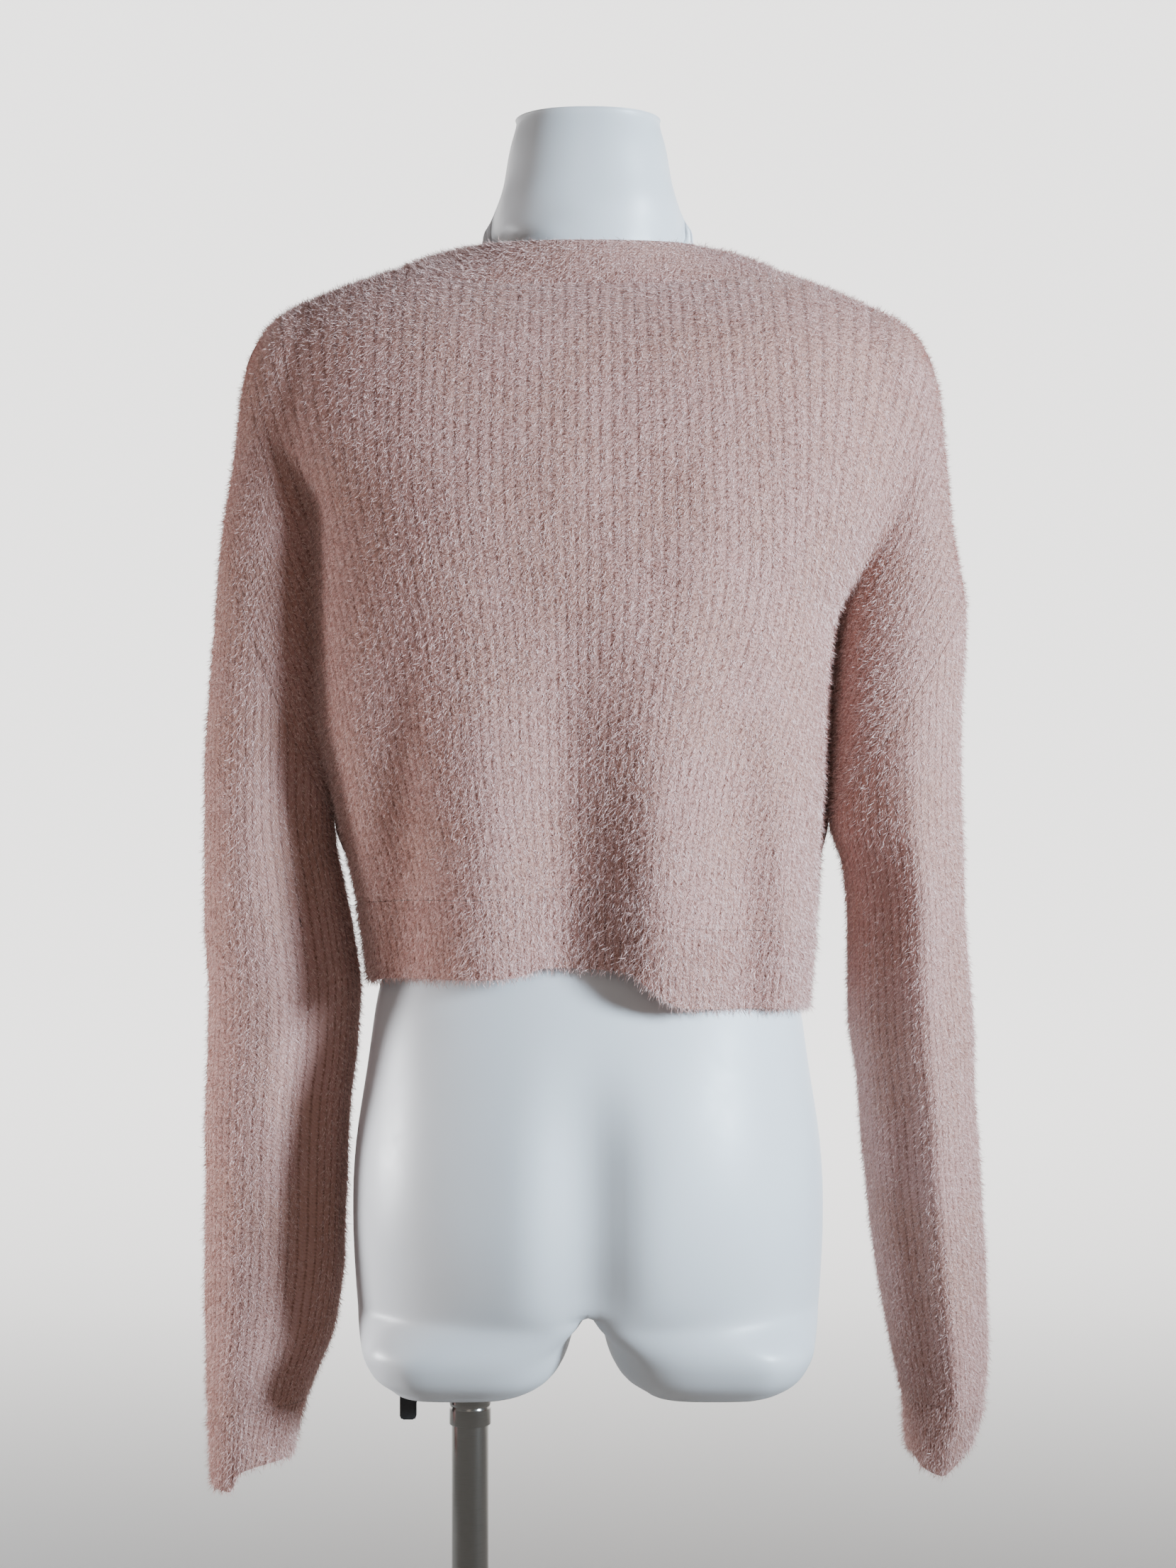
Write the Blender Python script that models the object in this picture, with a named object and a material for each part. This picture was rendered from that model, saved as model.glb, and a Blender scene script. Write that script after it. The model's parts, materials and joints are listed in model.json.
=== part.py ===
"""A cropped rib-knit cardigan worn by a limbless dress form on a pole stand.

Every size below is in millimetres and is turned into metres where a mesh is made. +Z is up, the
cardigan's front faces -Y, +X is the wearer's left, and the origin is under the middle of the base
plate. Each knitted piece is a closed wall: its outer points carry the ribs and its inside is plain.
"""

import math

import bmesh
import bpy
import numpy as np
from mathutils import Vector
from mathutils.bvhtree import BVHTree

MM = 0.001

# Cloth
WALL = 3.2
SEAM_GAP = 0.3
ARMHOLE_GAP = 0.6  # its seam twists, so the two edges need more room
RIB_HEIGHT = 1.0
BACK_RIBS = 36  # on each side of the middle of the back
FRONT_RIBS = 32  # on each front
SLEEVE_RIBS = 42
PANEL_ROWS_ABOVE_UNDERARM = 7
PANEL_ROWS_BELOW_UNDERARM = 2
SLEEVE_ROWS = 7

# Neckline and front opening
NECK_SEAM_HALF_WIDTH = 118.0
NECK_SEAM_BACK_HEIGHT = 1402.0
NECK_EDGE_HALF_WIDTH = 76.0
NECK_EDGE_BACK_DEPTH = 56.0
NECK_EDGE_BACK_HEIGHT = 1428.5
NECK_EDGE_SIDE_HEIGHT = 1434.0
BAND_WIDTH = 27.0
V_POINT_HEIGHT = 1190.0
BAND_LAP = WALL + 0.5
LAP_STARTS, LAP_FULL = 1275.0, 1222.0

# Hem and cuffs
HEM_BAND = 48.0
UNDERARM_HEIGHT = 1070.0

# Buttons
BUTTONS = 5
BUTTON_DIAMETER = 18.0
BUTTON_THICKNESS = 3.2
FIRST_BUTTON_HEIGHT = 1176.0
LAST_BUTTON_HEIGHT = 972.0

# Stand
FORM_CLEARANCE = 0.8
POLE_X, POLE_Y = 75.0, 4.0
POLE_DIAMETER = 23.5
COLLAR_DIAMETER = 26.5
COLLAR_HEIGHT = 24.0
BASE_DIAMETER = 340.0
BASE_THICKNESS = 8.0
FLANGE_DIAMETER = 52.0
FLANGE_HEIGHT = 14.0
FORM_FOOT_HEIGHT = 709.5


def table(names, *rows):
    """Columns by name, from rows that start with a height."""
    data = np.array(sorted(rows), float)
    return dict(zip(names.split(), data.T))


# The body's outer surface: half widths to the wearer's left and right, and depths behind and in
# front of the seams' plane.
BODY = table(
    "height left right back front",
    (1440, 214, 214, 52, 40),
    (1400, 212, 212, 68, 58),
    (1360, 210, 212, 86, 88),
    (1320, 206, 211, 98, 108),
    (1290, 194, 208, 103, 118),
    (1260, 179, 197, 106, 124),
    (1225, 177, 175, 107, 126),
    (1190, 176, 158, 107, 125),
    (1140, 174, 153, 106, 119),
    (1090, 164, 151, 104, 113),
    (1060, 157, 149, 102, 109),
    (1010, 146, 146, 99, 105),
    (960, 139, 141, 97, 101),
)
BODY_SQUARENESS = 3.1
ARM_BLEND = 24.0  # over how much depth the torso and the hanging arm flow into each other
SHOULDER_ROUNDING = 100.0  # how far down the shoulder's rounding reaches at the neck
SHOULDER_ROUNDING_END = 30.0  # and at the sleeve
SHOULDER_END = 221.0
BUST = {"x": 78, "half_width": 42, "height": 1215, "half_height": 62, "depth": 7.0}

# The shoulder line, from the neck over the shoulder's end and down to the sleeve's top seam.
LEFT_SHOULDER = table(
    "x height",
    (0, 1452),
    (75, 1433),
    (118, 1421.5),
    (183, 1397.6),
    (206, 1381),
    (218, 1361),
    (222.5, 1325),
    (227.5, 1289),
    (232.5, 1257),
)
RIGHT_SHOULDER = table(
    "x height",
    (0, 1452),
    (75, 1433),
    (118, 1420.5),
    (177, 1397.6),
    (208, 1379.5),
    (220, 1361),
    (226, 1325),
    (230.5, 1271),
    (236, 1232),
    (241.5, 1204),
)

# The hanging sleeves, each an oval tube: its inner and outer sides, half its depth, and how far its
# middle lies behind the seams' plane.
LEFT_SLEEVE = table(
    "height inner outer half_depth middle",
    (1380, 172, 208, 46, 0),
    (1340, 170, 221, 46, 0),
    (1300, 167, 225.5, 45, 0),
    (1257, 165, 232.5, 43, 0),
    (1200, 164, 238, 42, 0),
    (1130, 163, 243, 41, 0),
    (1070, 162, 244.8, 40, 0),
    (1030, 155, 245.2, 40, -2),
    (1000, 149.5, 244.5, 41, -4),
    (960, 144.5, 243.2, 41, -6),
    (925, 146, 243.5, 40, -8),
    (890, 151, 244.5, 39, -9),
    (855, 153, 245.3, 38, -10),
    (800, 154.5, 245.8, 36, -10),
    (750, 161, 245.8, 33, -10),
    (710, 175, 245.4, 31, -9),
    (685, 184, 243.5, 29, -8),
    (645, 192, 241, 29, -7),
)
RIGHT_SLEEVE = table(
    "height inner outer half_depth middle",
    (1380, 172, 210, 46, 0),
    (1340, 170, 224, 46, 0),
    (1300, 167, 228, 46, 0),
    (1257, 163, 232.5, 45, 0),
    (1204, 160, 241.5, 45, 0),
    (1130, 156, 238, 45, 0),
    (1070, 154, 238.3, 46, 0),
    (1036, 162, 239.2, 47, -2),
    (1000, 165.5, 241, 47, -4),
    (945, 166, 245.5, 46, -6),
    (891, 173, 248.3, 45, -8),
    (837, 177, 251, 43, -8),
    (780, 185, 255, 40, -8),
    (730, 194, 256, 37, -8),
    (700, 200.5, 254, 34, -8),
    (675, 203, 247, 31, -8),
    (645, 206, 238, 29, -8),
)
LEFT_CUFF_SEAM = {"outer": 690.0, "inner": 699.0}
RIGHT_CUFF_SEAM = {"outer": 700.0, "inner": 700.0}

# The sleeves' long creases: where round the sleeve in degrees, half the width, and the share of the
# depth by which each stands out or in.
LEFT_CREASES = ((118, 26, -0.30), (62, 22, 0.10), (250, 26, -0.16))
RIGHT_CREASES = ((80, 20, 0.13), (125, 24, -0.12), (285, 26, -0.14))

# The hem's lower edge at the back, across from the wearer's right to left.
BACK_HEM = table(
    "x height",
    (-160, 951),
    (-120, 953.5),
    (-60, 957),
    (-38, 968),
    (-22, 979),
    (24, 980.5),
    (45, 975),
    (110, 972.5),
    (160, 968),
)
FRONT_HEM = table(
    "x height",
    (-160, 951),
    (-90, 955),
    (0, 958),
    (90, 962),
    (160, 968),
)

# Upright folds: x at the hem and at the top, how far the crest stands out (or in) at the hem, half
# its width, and where it fades out.
FOLDS_FOOT = 970.0
BACK_FOLDS = (
    {"hem_x": 118, "top_x": 122, "depth": -8.0, "width": 30, "top": 1225},
    {"hem_x": 59, "top_x": 66, "depth": 6.5, "width": 30, "top": 1240},
    {"hem_x": 6, "top_x": 8, "depth": -9.0, "width": 34, "top": 1260},
    {"hem_x": -44, "top_x": -40, "depth": 7.5, "width": 28, "top": 1240},
    {"hem_x": -98, "top_x": -90, "depth": -7.0, "width": 24, "top": 1215},
)
FRONT_FOLDS = (
    {"hem_x": 104, "top_x": 90, "depth": -8.0, "width": 32, "top": 1180},
    {"hem_x": 56, "top_x": 62, "depth": 5.5, "width": 30, "top": 1200},
    {"hem_x": -52, "top_x": -64, "depth": 6.0, "width": 30, "top": 1200},
    {"hem_x": -94, "top_x": -86, "depth": -7.0, "width": 28, "top": 1180},
    {"hem_x": -134, "top_x": -140, "depth": 7.0, "width": 24, "top": 1100},
)

# The dress form: half width, depth behind and in front.
FORM = table(
    "height half_width back front",
    (1514.5, 43, 36, 44),
    (1512.5, 45.5, 38, 46),
    (1502, 48.8, 41, 49),
    (1488, 51, 43, 50.5),
    (1470, 54.6, 44, 51),
    (1452, 61.3, 46, 52),
    (1442, 66.5, 47.5, 53),
    (1436, 69.5, 48, 53),
    (1428, 77, 49, 53),
    (1418, 116, 53, 55),
    (1408, 144, 58, 58),
    (1392, 181, 67, 66),
    (1375, 194, 76, 76),
    (1350, 195, 85, 89),
    (1310, 187, 93, 104),
    (1270, 170, 97, 113),
    (1225, 152, 96, 117),
    (1185, 144, 90, 112),
    (1140, 132, 79, 99),
    (1060, 115, 68, 87),
    (1020, 119, 71, 89),
    (970, 131, 82, 93),
    (945, 136, 92, 94),
    (909, 141, 104, 93),
    (873, 147, 112, 89),
    (820, 149.5, 113, 84),
    (790, 148.5, 106, 80),
    (756, 146, 94, 76),
    (735, 142.5, 86, 73),
    (719, 140, 82, 71),
    (FORM_FOOT_HEIGHT, 137, 79, 68),
)
FORM_SQUARENESS = 2.35
FORM_TOP_HEIGHT = 1516.5
CROTCH_HEIGHT = 767.0
CLEFT = {"depth": 13.0, "half_width": 22.0, "top": 930, "fade": 60}
SEAT_FOLD = {"depth": 3.5, "height": 757, "half_height": 14.0, "end": 110, "fade": 60}
FORM_BUST = {"x": 76, "half_width": 36, "height": 1218, "half_height": 44, "depth": 9.0}
NECK_FOOT = {"height": 1452, "half_width": 60, "top": 1385}
UNDER_SHOULDER_HEIGHT = 1300  # above it the form also keeps under the cloth's round shoulders
LEG_OPENING = 0.62  # half the angle, in radians, of a thigh's side towards the crotch
# The thighs' rings below the crotch: their heights, and their share of the full girth.
THIGH_RINGS = ((760, 1.0), (751, 1.0), (740, 0.995), (729, 0.955), (720, 0.875), (713, 0.74))
THIGH_FOOT_SHARE = 0.55
THIGH_SQUARENESS = 3.2
THIGH_GAP = ((CROTCH_HEIGHT, 0.5), (758, 7.2), (741, 10.7), (FORM_FOOT_HEIGHT, 16.0))  # height, half the gap


# Curves and lookups


def smooth_curve(keys, values, at):
    """A curve through the given points that never overshoots them (monotone cubic)."""
    keys = np.asarray(keys, float)
    values = np.asarray(values, float)
    at = np.clip(at, keys[0], keys[-1])
    step = np.diff(keys)
    slope = np.diff(values) / step
    tangent = np.empty_like(values)
    tangent[0], tangent[-1] = slope[0], slope[-1]
    before, after = slope[:-1], slope[1:]
    same_way = before * after > 0
    mean = np.where(same_way, 2 * before * after / np.where(same_way, before + after, 1), 0)
    tangent[1:-1] = mean
    i = np.clip(np.searchsorted(keys, at, side="right") - 1, 0, len(step) - 1)
    t = (at - keys[i]) / step[i]
    return (
        values[i] * (1 + 2 * t) * (1 - t) ** 2
        + values[i + 1] * t * t * (3 - 2 * t)
        + step[i] * tangent[i] * t * (1 - t) ** 2
        - step[i] * tangent[i + 1] * t * t * (1 - t)
    )


def look_up(rows, name, height):
    return smooth_curve(rows["height"], rows[name], height)


def across(rows, x):
    return smooth_curve(rows["x"], rows["height"], x)


def smooth_step(t):
    t = np.clip(t, 0.0, 1.0)
    return t * t * (3 - 2 * t)


def unit(vectors):
    vectors = np.asarray(vectors, float)
    length = np.linalg.norm(vectors, axis=-1, keepdims=True)
    return vectors / np.maximum(length, 1e-9)


def even_stations(points, count):
    """count + 1 points spaced evenly along a polyline, and where they lie on it from 0 to 1."""
    steps = np.linalg.norm(np.diff(points, axis=0), axis=1)
    along = np.concatenate([[0], np.cumsum(steps)])
    wanted = np.linspace(0, along[-1], count + 1)
    return np.interp(wanted, along, np.linspace(0, 1, len(points)))


# The surface that the body's panels follow


def shoulder_rows(side):
    return LEFT_SHOULDER if side > 0 else RIGHT_SHOULDER


def sleeve_rows(side):
    return LEFT_SLEEVE if side > 0 else RIGHT_SLEEVE


def shoulder_height(x, side):
    """Height of the shoulder line over a distance x from the middle."""
    rows = shoulder_rows(side)
    return smooth_curve(rows["x"], rows["height"], x)


def fold_depth(x, z, folds):
    total = np.zeros(np.broadcast(x, z).shape)
    for fold in folds:
        tall = fold["top"] - FOLDS_FOOT
        fade = smooth_step((fold["top"] - z) / tall)
        rise = np.clip((z - FOLDS_FOOT) / tall, 0, 1)
        middle = fold["hem_x"] + (fold["top_x"] - fold["hem_x"]) * rise
        total = total + fold["depth"] * fade * np.exp(-(((x - middle) / fold["width"]) ** 2))
    return total


def body_depth(x, z, side, face):
    """How far the cloth lies behind (face 'back') or before (face 'front') the seams' plane."""
    x = np.asarray(x, float)
    half_width = look_up(BODY, "left" if side > 0 else "right", z)
    depth = look_up(BODY, face, z)
    reach = np.clip(x / half_width, 0, 1)
    oval = np.sqrt(np.clip(1 - reach**BODY_SQUARENESS, 0, 1))
    torso = depth * oval
    folds = BACK_FOLDS if face == "back" else FRONT_FOLDS
    torso = torso + fold_depth(side * x, z, folds) * np.clip(oval * 1.6, 0, 1)
    if face == "front":
        bust = np.exp(-(((x - BUST["x"]) / BUST["half_width"]) ** 2))
        bust = bust * np.exp(-(((z - BUST["height"]) / BUST["half_height"]) ** 2))
        torso = torso + BUST["depth"] * bust * oval
    rows = sleeve_rows(side)
    inner, outer = look_up(rows, "inner", z), look_up(rows, "outer", z)
    reach = (x - (inner + outer) / 2) / ((outer - inner) / 2)
    arm = look_up(rows, "half_depth", z) * np.sqrt(np.clip(1 - reach**2, 0, 1))
    arm = np.where(z > UNDERARM_HEIGHT - 1, arm, 0)
    near = np.clip(ARM_BLEND - np.abs(torso - arm), 0, None) / ARM_BLEND
    depth = np.maximum(torso, arm) + near * near * ARM_BLEND / 4 * (arm > 0) * (torso > 0)
    below = shoulder_height(x, side) - z
    outwards = np.clip(x / SHOULDER_END, 0, 1)
    rounding = SHOULDER_ROUNDING + (SHOULDER_ROUNDING_END - SHOULDER_ROUNDING) * outwards
    cap = 1 - np.clip(below / rounding, 0, 1)
    return depth * np.sqrt(np.clip(1 - cap * cap, 0, 1))


def sleeve_point(angle, along, side, cuff):
    """A point of a sleeve's outer surface. angle is 0 outside, 90 degrees behind, 180 inside."""
    seam_top = shoulder_rows(side)["height"][-1]
    z_outer = seam_top + (cuff["outer"] - seam_top) * along
    z_inner = UNDERARM_HEIGHT + (cuff["inner"] - UNDERARM_HEIGHT) * along
    share = (1 - np.cos(angle)) / 2
    z = z_outer + (z_inner - z_outer) * share
    rows = sleeve_rows(side)
    inner, outer = look_up(rows, "inner", z), look_up(rows, "outer", z)
    x = outer + (inner - outer) * share
    depth = look_up(rows, "half_depth", z) * np.sin(angle)
    depth = depth * (1 + sleeve_fold(angle, z, side))
    y = look_up(rows, "middle", z) + depth
    return np.stack([side * x, y, z], axis=-1)


def sleeve_fold(angle, z, side):
    """Long creases of the empty sleeves, as a share of the depth."""
    fade = smooth_step((1180 - z) / 160) * smooth_step((z - 640) / 60)
    turn = np.degrees(np.mod(angle, 2 * np.pi))
    creases = LEFT_CREASES if side > 0 else RIGHT_CREASES
    total = sum(share * np.exp(-(((turn - middle) / width) ** 2)) for middle, width, share in creases)
    return fade * total


# The armhole seam, which the body and the sleeve share


def armhole_ring(side):
    """Outer and inner points of one armhole from the shoulder line (0) round to the underarm."""
    angles = np.linspace(0, np.pi, PANEL_ROWS_ABOVE_UNDERARM + 1)
    ring = {}
    cuff = LEFT_CUFF_SEAM if side > 0 else RIGHT_CUFF_SEAM
    for face, sign in (("back", 1), ("front", -1)):
        outer = sleeve_point(sign * angles, 0.0, side, cuff)
        outer[0, 1] = outer[-1, 1] = 0.0
        normal = np.stack(
            [
                side * np.clip(np.cos(angles), 0, None),
                sign * np.sin(angles),
                -np.clip(-np.cos(angles), 0, None),
            ],
            axis=-1,
        )
        tangent = np.gradient(outer, axis=0)
        tangent[0] = tangent[-1] = (0, 1, 0)
        tangent = unit(tangent)
        normal = unit(normal - tangent * (normal * tangent).sum(-1, keepdims=True))
        into_body = unit(np.cross(tangent, normal))
        towards = np.array([side * 60.0, 0, 1300.0]) - outer
        flip = np.sign((into_body * towards).sum(-1, keepdims=True))
        ring[face] = {
            "outer": outer,
            "inner": outer - normal * WALL,
            "into_body": into_body * flip,
            "angles": sign * angles,
        }
    return ring


# Panels as grids of points: rows run from the top seam down, columns outwards


def neck_seam_height(x, side):
    rise = shoulder_height(NECK_SEAM_HALF_WIDTH, side) - NECK_SEAM_BACK_HEIGHT
    return NECK_SEAM_BACK_HEIGHT + rise * (x / NECK_SEAM_HALF_WIDTH) ** 4


def shoulder_path(side, count):
    """Points (x, z) spaced evenly from the neck seam along the shoulder line to its end."""
    rows = shoulder_rows(side)
    x = np.linspace(NECK_SEAM_HALF_WIDTH, rows["x"][-1], 400)
    path = np.stack([x, smooth_curve(rows["x"], rows["height"], x)], axis=-1)
    share = even_stations(path, count) * (len(path) - 1)
    return np.stack([np.interp(share, np.arange(400), path[:, k]) for k in (0, 1)], axis=-1)


def hem_seam_height(x, face):
    return across(BACK_HEM if face == "back" else FRONT_HEM, x) + HEM_BAND


def side_width(side, z):
    return look_up(BODY, "left" if side > 0 else "right", z)


def edge_path(side, face):
    """(x, z) of a panel's outer edge: the armhole, then the side seam down to the hem's seam."""
    ring = armhole_ring(side)[face]["outer"]
    start = ring[-1]
    low = hem_seam_height(side * side_width(side, 1010.0), face)
    z = np.linspace(start[2], low, PANEL_ROWS_BELOW_UNDERARM + 1)[1:]
    blend = smooth_step((start[2] - z) / 30.0)
    x = abs(start[0]) * (1 - blend) + side_width(side, z) * blend
    upper = np.stack([np.abs(ring[:, 0]), ring[:, 2]], axis=-1)
    return np.concatenate([upper, np.stack([x, z], axis=-1)])


def row_stations():
    """Where the rows lie from the top (0) to the underarm and on to the hem's seam (1)."""
    upper = np.linspace(0, 1, PANEL_ROWS_ABOVE_UNDERARM + 1) ** 1.25 * 0.84
    lower = np.linspace(0.84, 1, PANEL_ROWS_BELOW_UNDERARM + 1)[1:]
    return np.concatenate([upper, lower])


def panel_grid(side, face, top, first_x, columns):
    """One half panel's outer surface without ribs, as rows of points from first_x outwards."""
    edge = edge_path(side, face)
    stations = row_stations()
    hem_z = hem_seam_height(side * first_x, face)
    inner_edge_z = top[0, 1] + (hem_z - top[0, 1]) * stations
    last_x = edge[-1, 0]
    fine = np.linspace(0, 1, 161)
    hem_x = first_x + (last_x - first_x) * fine
    hem_row = np.stack([hem_x, hem_seam_height(side * hem_x, face)], axis=-1)
    depth = body_depth(hem_row[:, 0], hem_row[:, 1], side, face)
    even = even_stations(np.column_stack([hem_row, depth]), 160)
    hem_row = np.stack([np.interp(even, fine, hem_row[:, k]) for k in (0, 1)], axis=-1)
    top_share = np.linspace(0, 1, len(top))
    top_row = np.stack([np.interp(fine, top_share, top[:, k]) for k in (0, 1)], axis=-1)
    rows = []
    for k, t in enumerate(stations):
        left = np.array([first_x, inner_edge_z[k]])
        right = edge[k]
        corner_mix = (
            (1 - fine)[:, None] * ((1 - t) * top_row[0] + t * hem_row[0])
            + fine[:, None] * ((1 - t) * top_row[-1] + t * hem_row[-1])
        )
        plan = (
            (1 - t) * top_row
            + t * hem_row
            + (1 - fine)[:, None] * left
            + fine[:, None] * right
            - corner_mix
        )
        x, z = plan[:, 0], plan[:, 1]
        depth = body_depth(x, z, side, face)
        rows.append(np.stack([x, depth, z], axis=-1))
    rows = np.array(rows)
    ring = armhole_ring(side)[face]["outer"]
    edge_depth = np.zeros(len(stations))
    edge_depth[: len(ring)] = np.abs(ring[:, 1])
    pull = smooth_step((fine - 0.86) / 0.14)
    rows[:, :, 1] += (edge_depth - rows[:, -1, 1])[:, None] * pull
    grid = np.empty((len(stations), columns + 1, 3))
    for k, t in enumerate(stations):
        even = even_stations(rows[k], columns)
        as_top = np.linspace(0, 1, columns + 1)
        share = even * smooth_step(t * 5) + as_top * (1 - smooth_step(t * 5))
        for axis in range(3):
            grid[k, :, axis] = np.interp(share, fine, rows[k][:, axis])
    sign = 1 if face == "back" else -1
    return grid * np.array([side, sign, 1])


def grid_normals(grid, outwards):
    """Normals of a grid of points, turned to the side that outwards points to for most of it."""
    down = np.gradient(grid, axis=0)
    right = np.gradient(grid, axis=1)
    normal = unit(np.cross(down, right))
    return normal * np.sign((normal * outwards).sum())


def edge_normals(path, side):
    """Normals in the seams' plane of an edge path (x, y, z), pointing away from the body."""
    along = np.gradient(path, axis=0)
    normal = np.stack([-along[:, 2], np.zeros(len(path)), along[:, 0]], axis=-1)
    normal = unit(normal)
    centre = np.array([0.0, 0.0, 1150.0])
    flip = np.sign((normal * (path - centre)).sum(-1, keepdims=True))
    return normal * flip


# Making closed walls


def rib_lift(columns):
    """How far each column stands out: every other one is a rib's crest."""
    lift = np.zeros(columns + 1)
    lift[1::2] = RIB_HEIGHT
    return lift


def every_fourth(columns):
    """Columns that the plain inside uses, with both ends."""
    picked = list(range(0, columns, 4))
    return np.array(picked + [columns])


def strip_faces(first, second):
    """Triangles between two chains of vertex numbers whose ends match and whose counts differ."""
    faces = []
    i = j = 0
    while i < len(first) - 1 or j < len(second) - 1:
        share_i = (i + 1) / (len(first) - 1) if i < len(first) - 1 else 9
        share_j = (j + 1) / (len(second) - 1) if j < len(second) - 1 else 9
        if share_i <= share_j:
            faces.append((first[i], first[i + 1], second[j]))
            i += 1
        else:
            faces.append((first[i], second[j + 1], second[j]))
            j += 1
    return faces


def new_object(name, points, faces, material, smooth=True, sharp=35.0):
    """A mesh object in metres whose faces all point outwards."""
    mesh = bpy.data.meshes.new(name)
    mesh.from_pydata([tuple(p) for p in np.asarray(points) * MM], [], faces)
    shape = bmesh.new()
    shape.from_mesh(mesh)
    bmesh.ops.remove_doubles(shape, verts=shape.verts, dist=1e-6)
    bmesh.ops.recalc_face_normals(shape, faces=shape.faces)
    if shape.calc_volume(signed=True) < 0:
        bmesh.ops.reverse_faces(shape, faces=shape.faces)
    shape.to_mesh(mesh)
    shape.free()
    if smooth:
        mesh.shade_smooth()
        mesh.set_sharp_from_angle(angle=math.radians(sharp))
    mesh.materials.append(material)
    obj = bpy.data.objects.new(name, mesh)
    bpy.context.scene.collection.objects.link(obj)
    return obj


def wall_object(name, outer, inner, picked, material, closed=False):
    """A closed wall from a fine outer grid and a coarser inner grid on the picked columns."""
    rows, fine = outer.shape[:2]
    coarse = inner.shape[1]
    points = np.concatenate([outer.reshape(-1, 3), inner.reshape(-1, 3)])

    def outer_at(r, c):
        return r * fine + c % fine

    def inner_at(r, c):
        return rows * fine + r * coarse + c % coarse

    fine_steps = fine if closed else fine - 1
    coarse_steps = coarse if closed else coarse - 1
    faces = []
    for r in range(rows - 1):
        below = r + 1
        for c in range(fine_steps):
            faces.append((outer_at(r, c), outer_at(r, c + 1), outer_at(below, c + 1), outer_at(below, c)))
        for c in range(coarse_steps):
            faces.append((inner_at(r, c), inner_at(below, c), inner_at(below, c + 1), inner_at(r, c + 1)))
    for r in (0, rows - 1):
        for k in range(coarse_steps):
            start = picked[k]
            stop = picked[k + 1] if k + 1 < len(picked) else fine
            chain = [outer_at(r, c) for c in range(start, stop + 1)]
            faces += strip_faces(chain, [inner_at(r, k), inner_at(r, k + 1)])
    if not closed:
        for c, k in ((0, 0), (fine - 1, coarse - 1)):
            for r in range(rows - 1):
                faces.append((outer_at(r, c), outer_at(r + 1, c), inner_at(r + 1, k), inner_at(r, k)))
    return new_object(name, points, faces, material)


def material(name, colour, roughness, metallic=0.0):
    made = bpy.data.materials.new(name)
    made.use_nodes = True
    shader = made.node_tree.nodes["Principled BSDF"]
    shader.inputs["Base Color"].default_value = (*colour, 1)
    shader.inputs["Roughness"].default_value = roughness
    shader.inputs["Metallic"].default_value = metallic
    return made


# The back panel


def half_panel(side, face, top, first_x, columns):
    """Outer and inner grids of one half panel, with its seam edges set back by half the gap."""
    base = panel_grid(side, face, top, first_x, columns)
    sign = 1 if face == "back" else -1
    normals = grid_normals(base, np.array([side * 0.35, sign, 0.25]))
    below = PANEL_ROWS_ABOVE_UNDERARM
    seam_start = int(np.argmin(np.abs(top[:, 0] - NECK_SEAM_HALF_WIDTH)))
    shoulder = slice(seam_start, columns + 1)
    normals[0, shoulder] = edge_normals(base[0, shoulder] * [1, 0, 1], side)
    seam_side = edge_normals(base[below:, -1] * [1, 0, 1], side)
    normals[below + 1 :, -1] = seam_side[1:]
    ring = armhole_ring(side)[face]
    towards_ring = unit(ring["outer"] - ring["inner"])
    for k in range(1, below + 1):
        for back in range(8):
            share = smooth_step(1 - back / 8)
            column = columns - back
            normals[k, column] = unit(normals[k, column] * (1 - share) + towards_ring[k] * share)
    outer = base + normals * rib_lift(columns)[None, :, None]
    inner = base - normals * WALL
    half_gap = SEAM_GAP / 2
    shift = ring["into_body"] * ARMHOLE_GAP / 2
    for k in range(below + 1):
        outer[k, -1] = ring["outer"][k] + shift[k]
        inner[k, -1] = ring["inner"][k] + shift[k]
    back_off = np.array([0, sign * half_gap, 0])
    outer[0, shoulder] = outer[0, shoulder] * [1, 0, 1] + back_off
    inner[0, shoulder] = inner[0, shoulder] * [1, 0, 1] + back_off
    outer[0, -1] = ring["outer"][0] + shift[0] + back_off
    inner[0, -1] = ring["inner"][0] + shift[0] + back_off
    for k in range(below, len(base)):
        outer[k, -1, 1] = inner[k, -1, 1] = sign * half_gap
    neck = slice(0, seam_start + 1)
    along = unit(np.gradient(base[0, neck], axis=0))
    down = base[1, neck] - base[0, neck]
    down = unit(down - along * (down * along).sum(-1, keepdims=True))
    seam = {"outer": base[0, neck].copy(), "inner": inner[0, neck].copy(), "down": down}
    seam["inner"] = base[0, neck] - normals[0, neck] * WALL
    outer[0, neck] += down * half_gap
    inner[0, neck] += down * half_gap
    outer[-1, :, 2] += half_gap
    inner[-1, :, 2] = outer[-1, :, 2]
    return outer, inner, seam


def back_top(side):
    """The back's top row (x, z): the neck seam, then the shoulder line."""
    neck_columns = 28
    x = NECK_SEAM_HALF_WIDTH * np.sin(np.linspace(0, math.pi / 2, neck_columns + 1))
    neck = np.stack([x, neck_seam_height(x, side)], axis=-1)
    shoulder = shoulder_path(side, 2 * BACK_RIBS - neck_columns)
    return np.concatenate([neck, shoulder[1:]])


def make_back(cloth):
    columns = 2 * BACK_RIBS
    halves = {}
    for side in (1, -1):
        halves[side] = half_panel(side, "back", back_top(side), 0.0, columns)
    outer = np.concatenate([halves[-1][0][:, ::-1], halves[1][0][:, 1:]], axis=1)
    inner = np.concatenate([halves[-1][1][:, ::-1], halves[1][1][:, 1:]], axis=1)
    picked = every_fourth(2 * columns)
    wall_object("back", outer, inner[:, picked], picked, cloth)
    return {side: halves[side][2] for side in halves}


# The fronts


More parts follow.
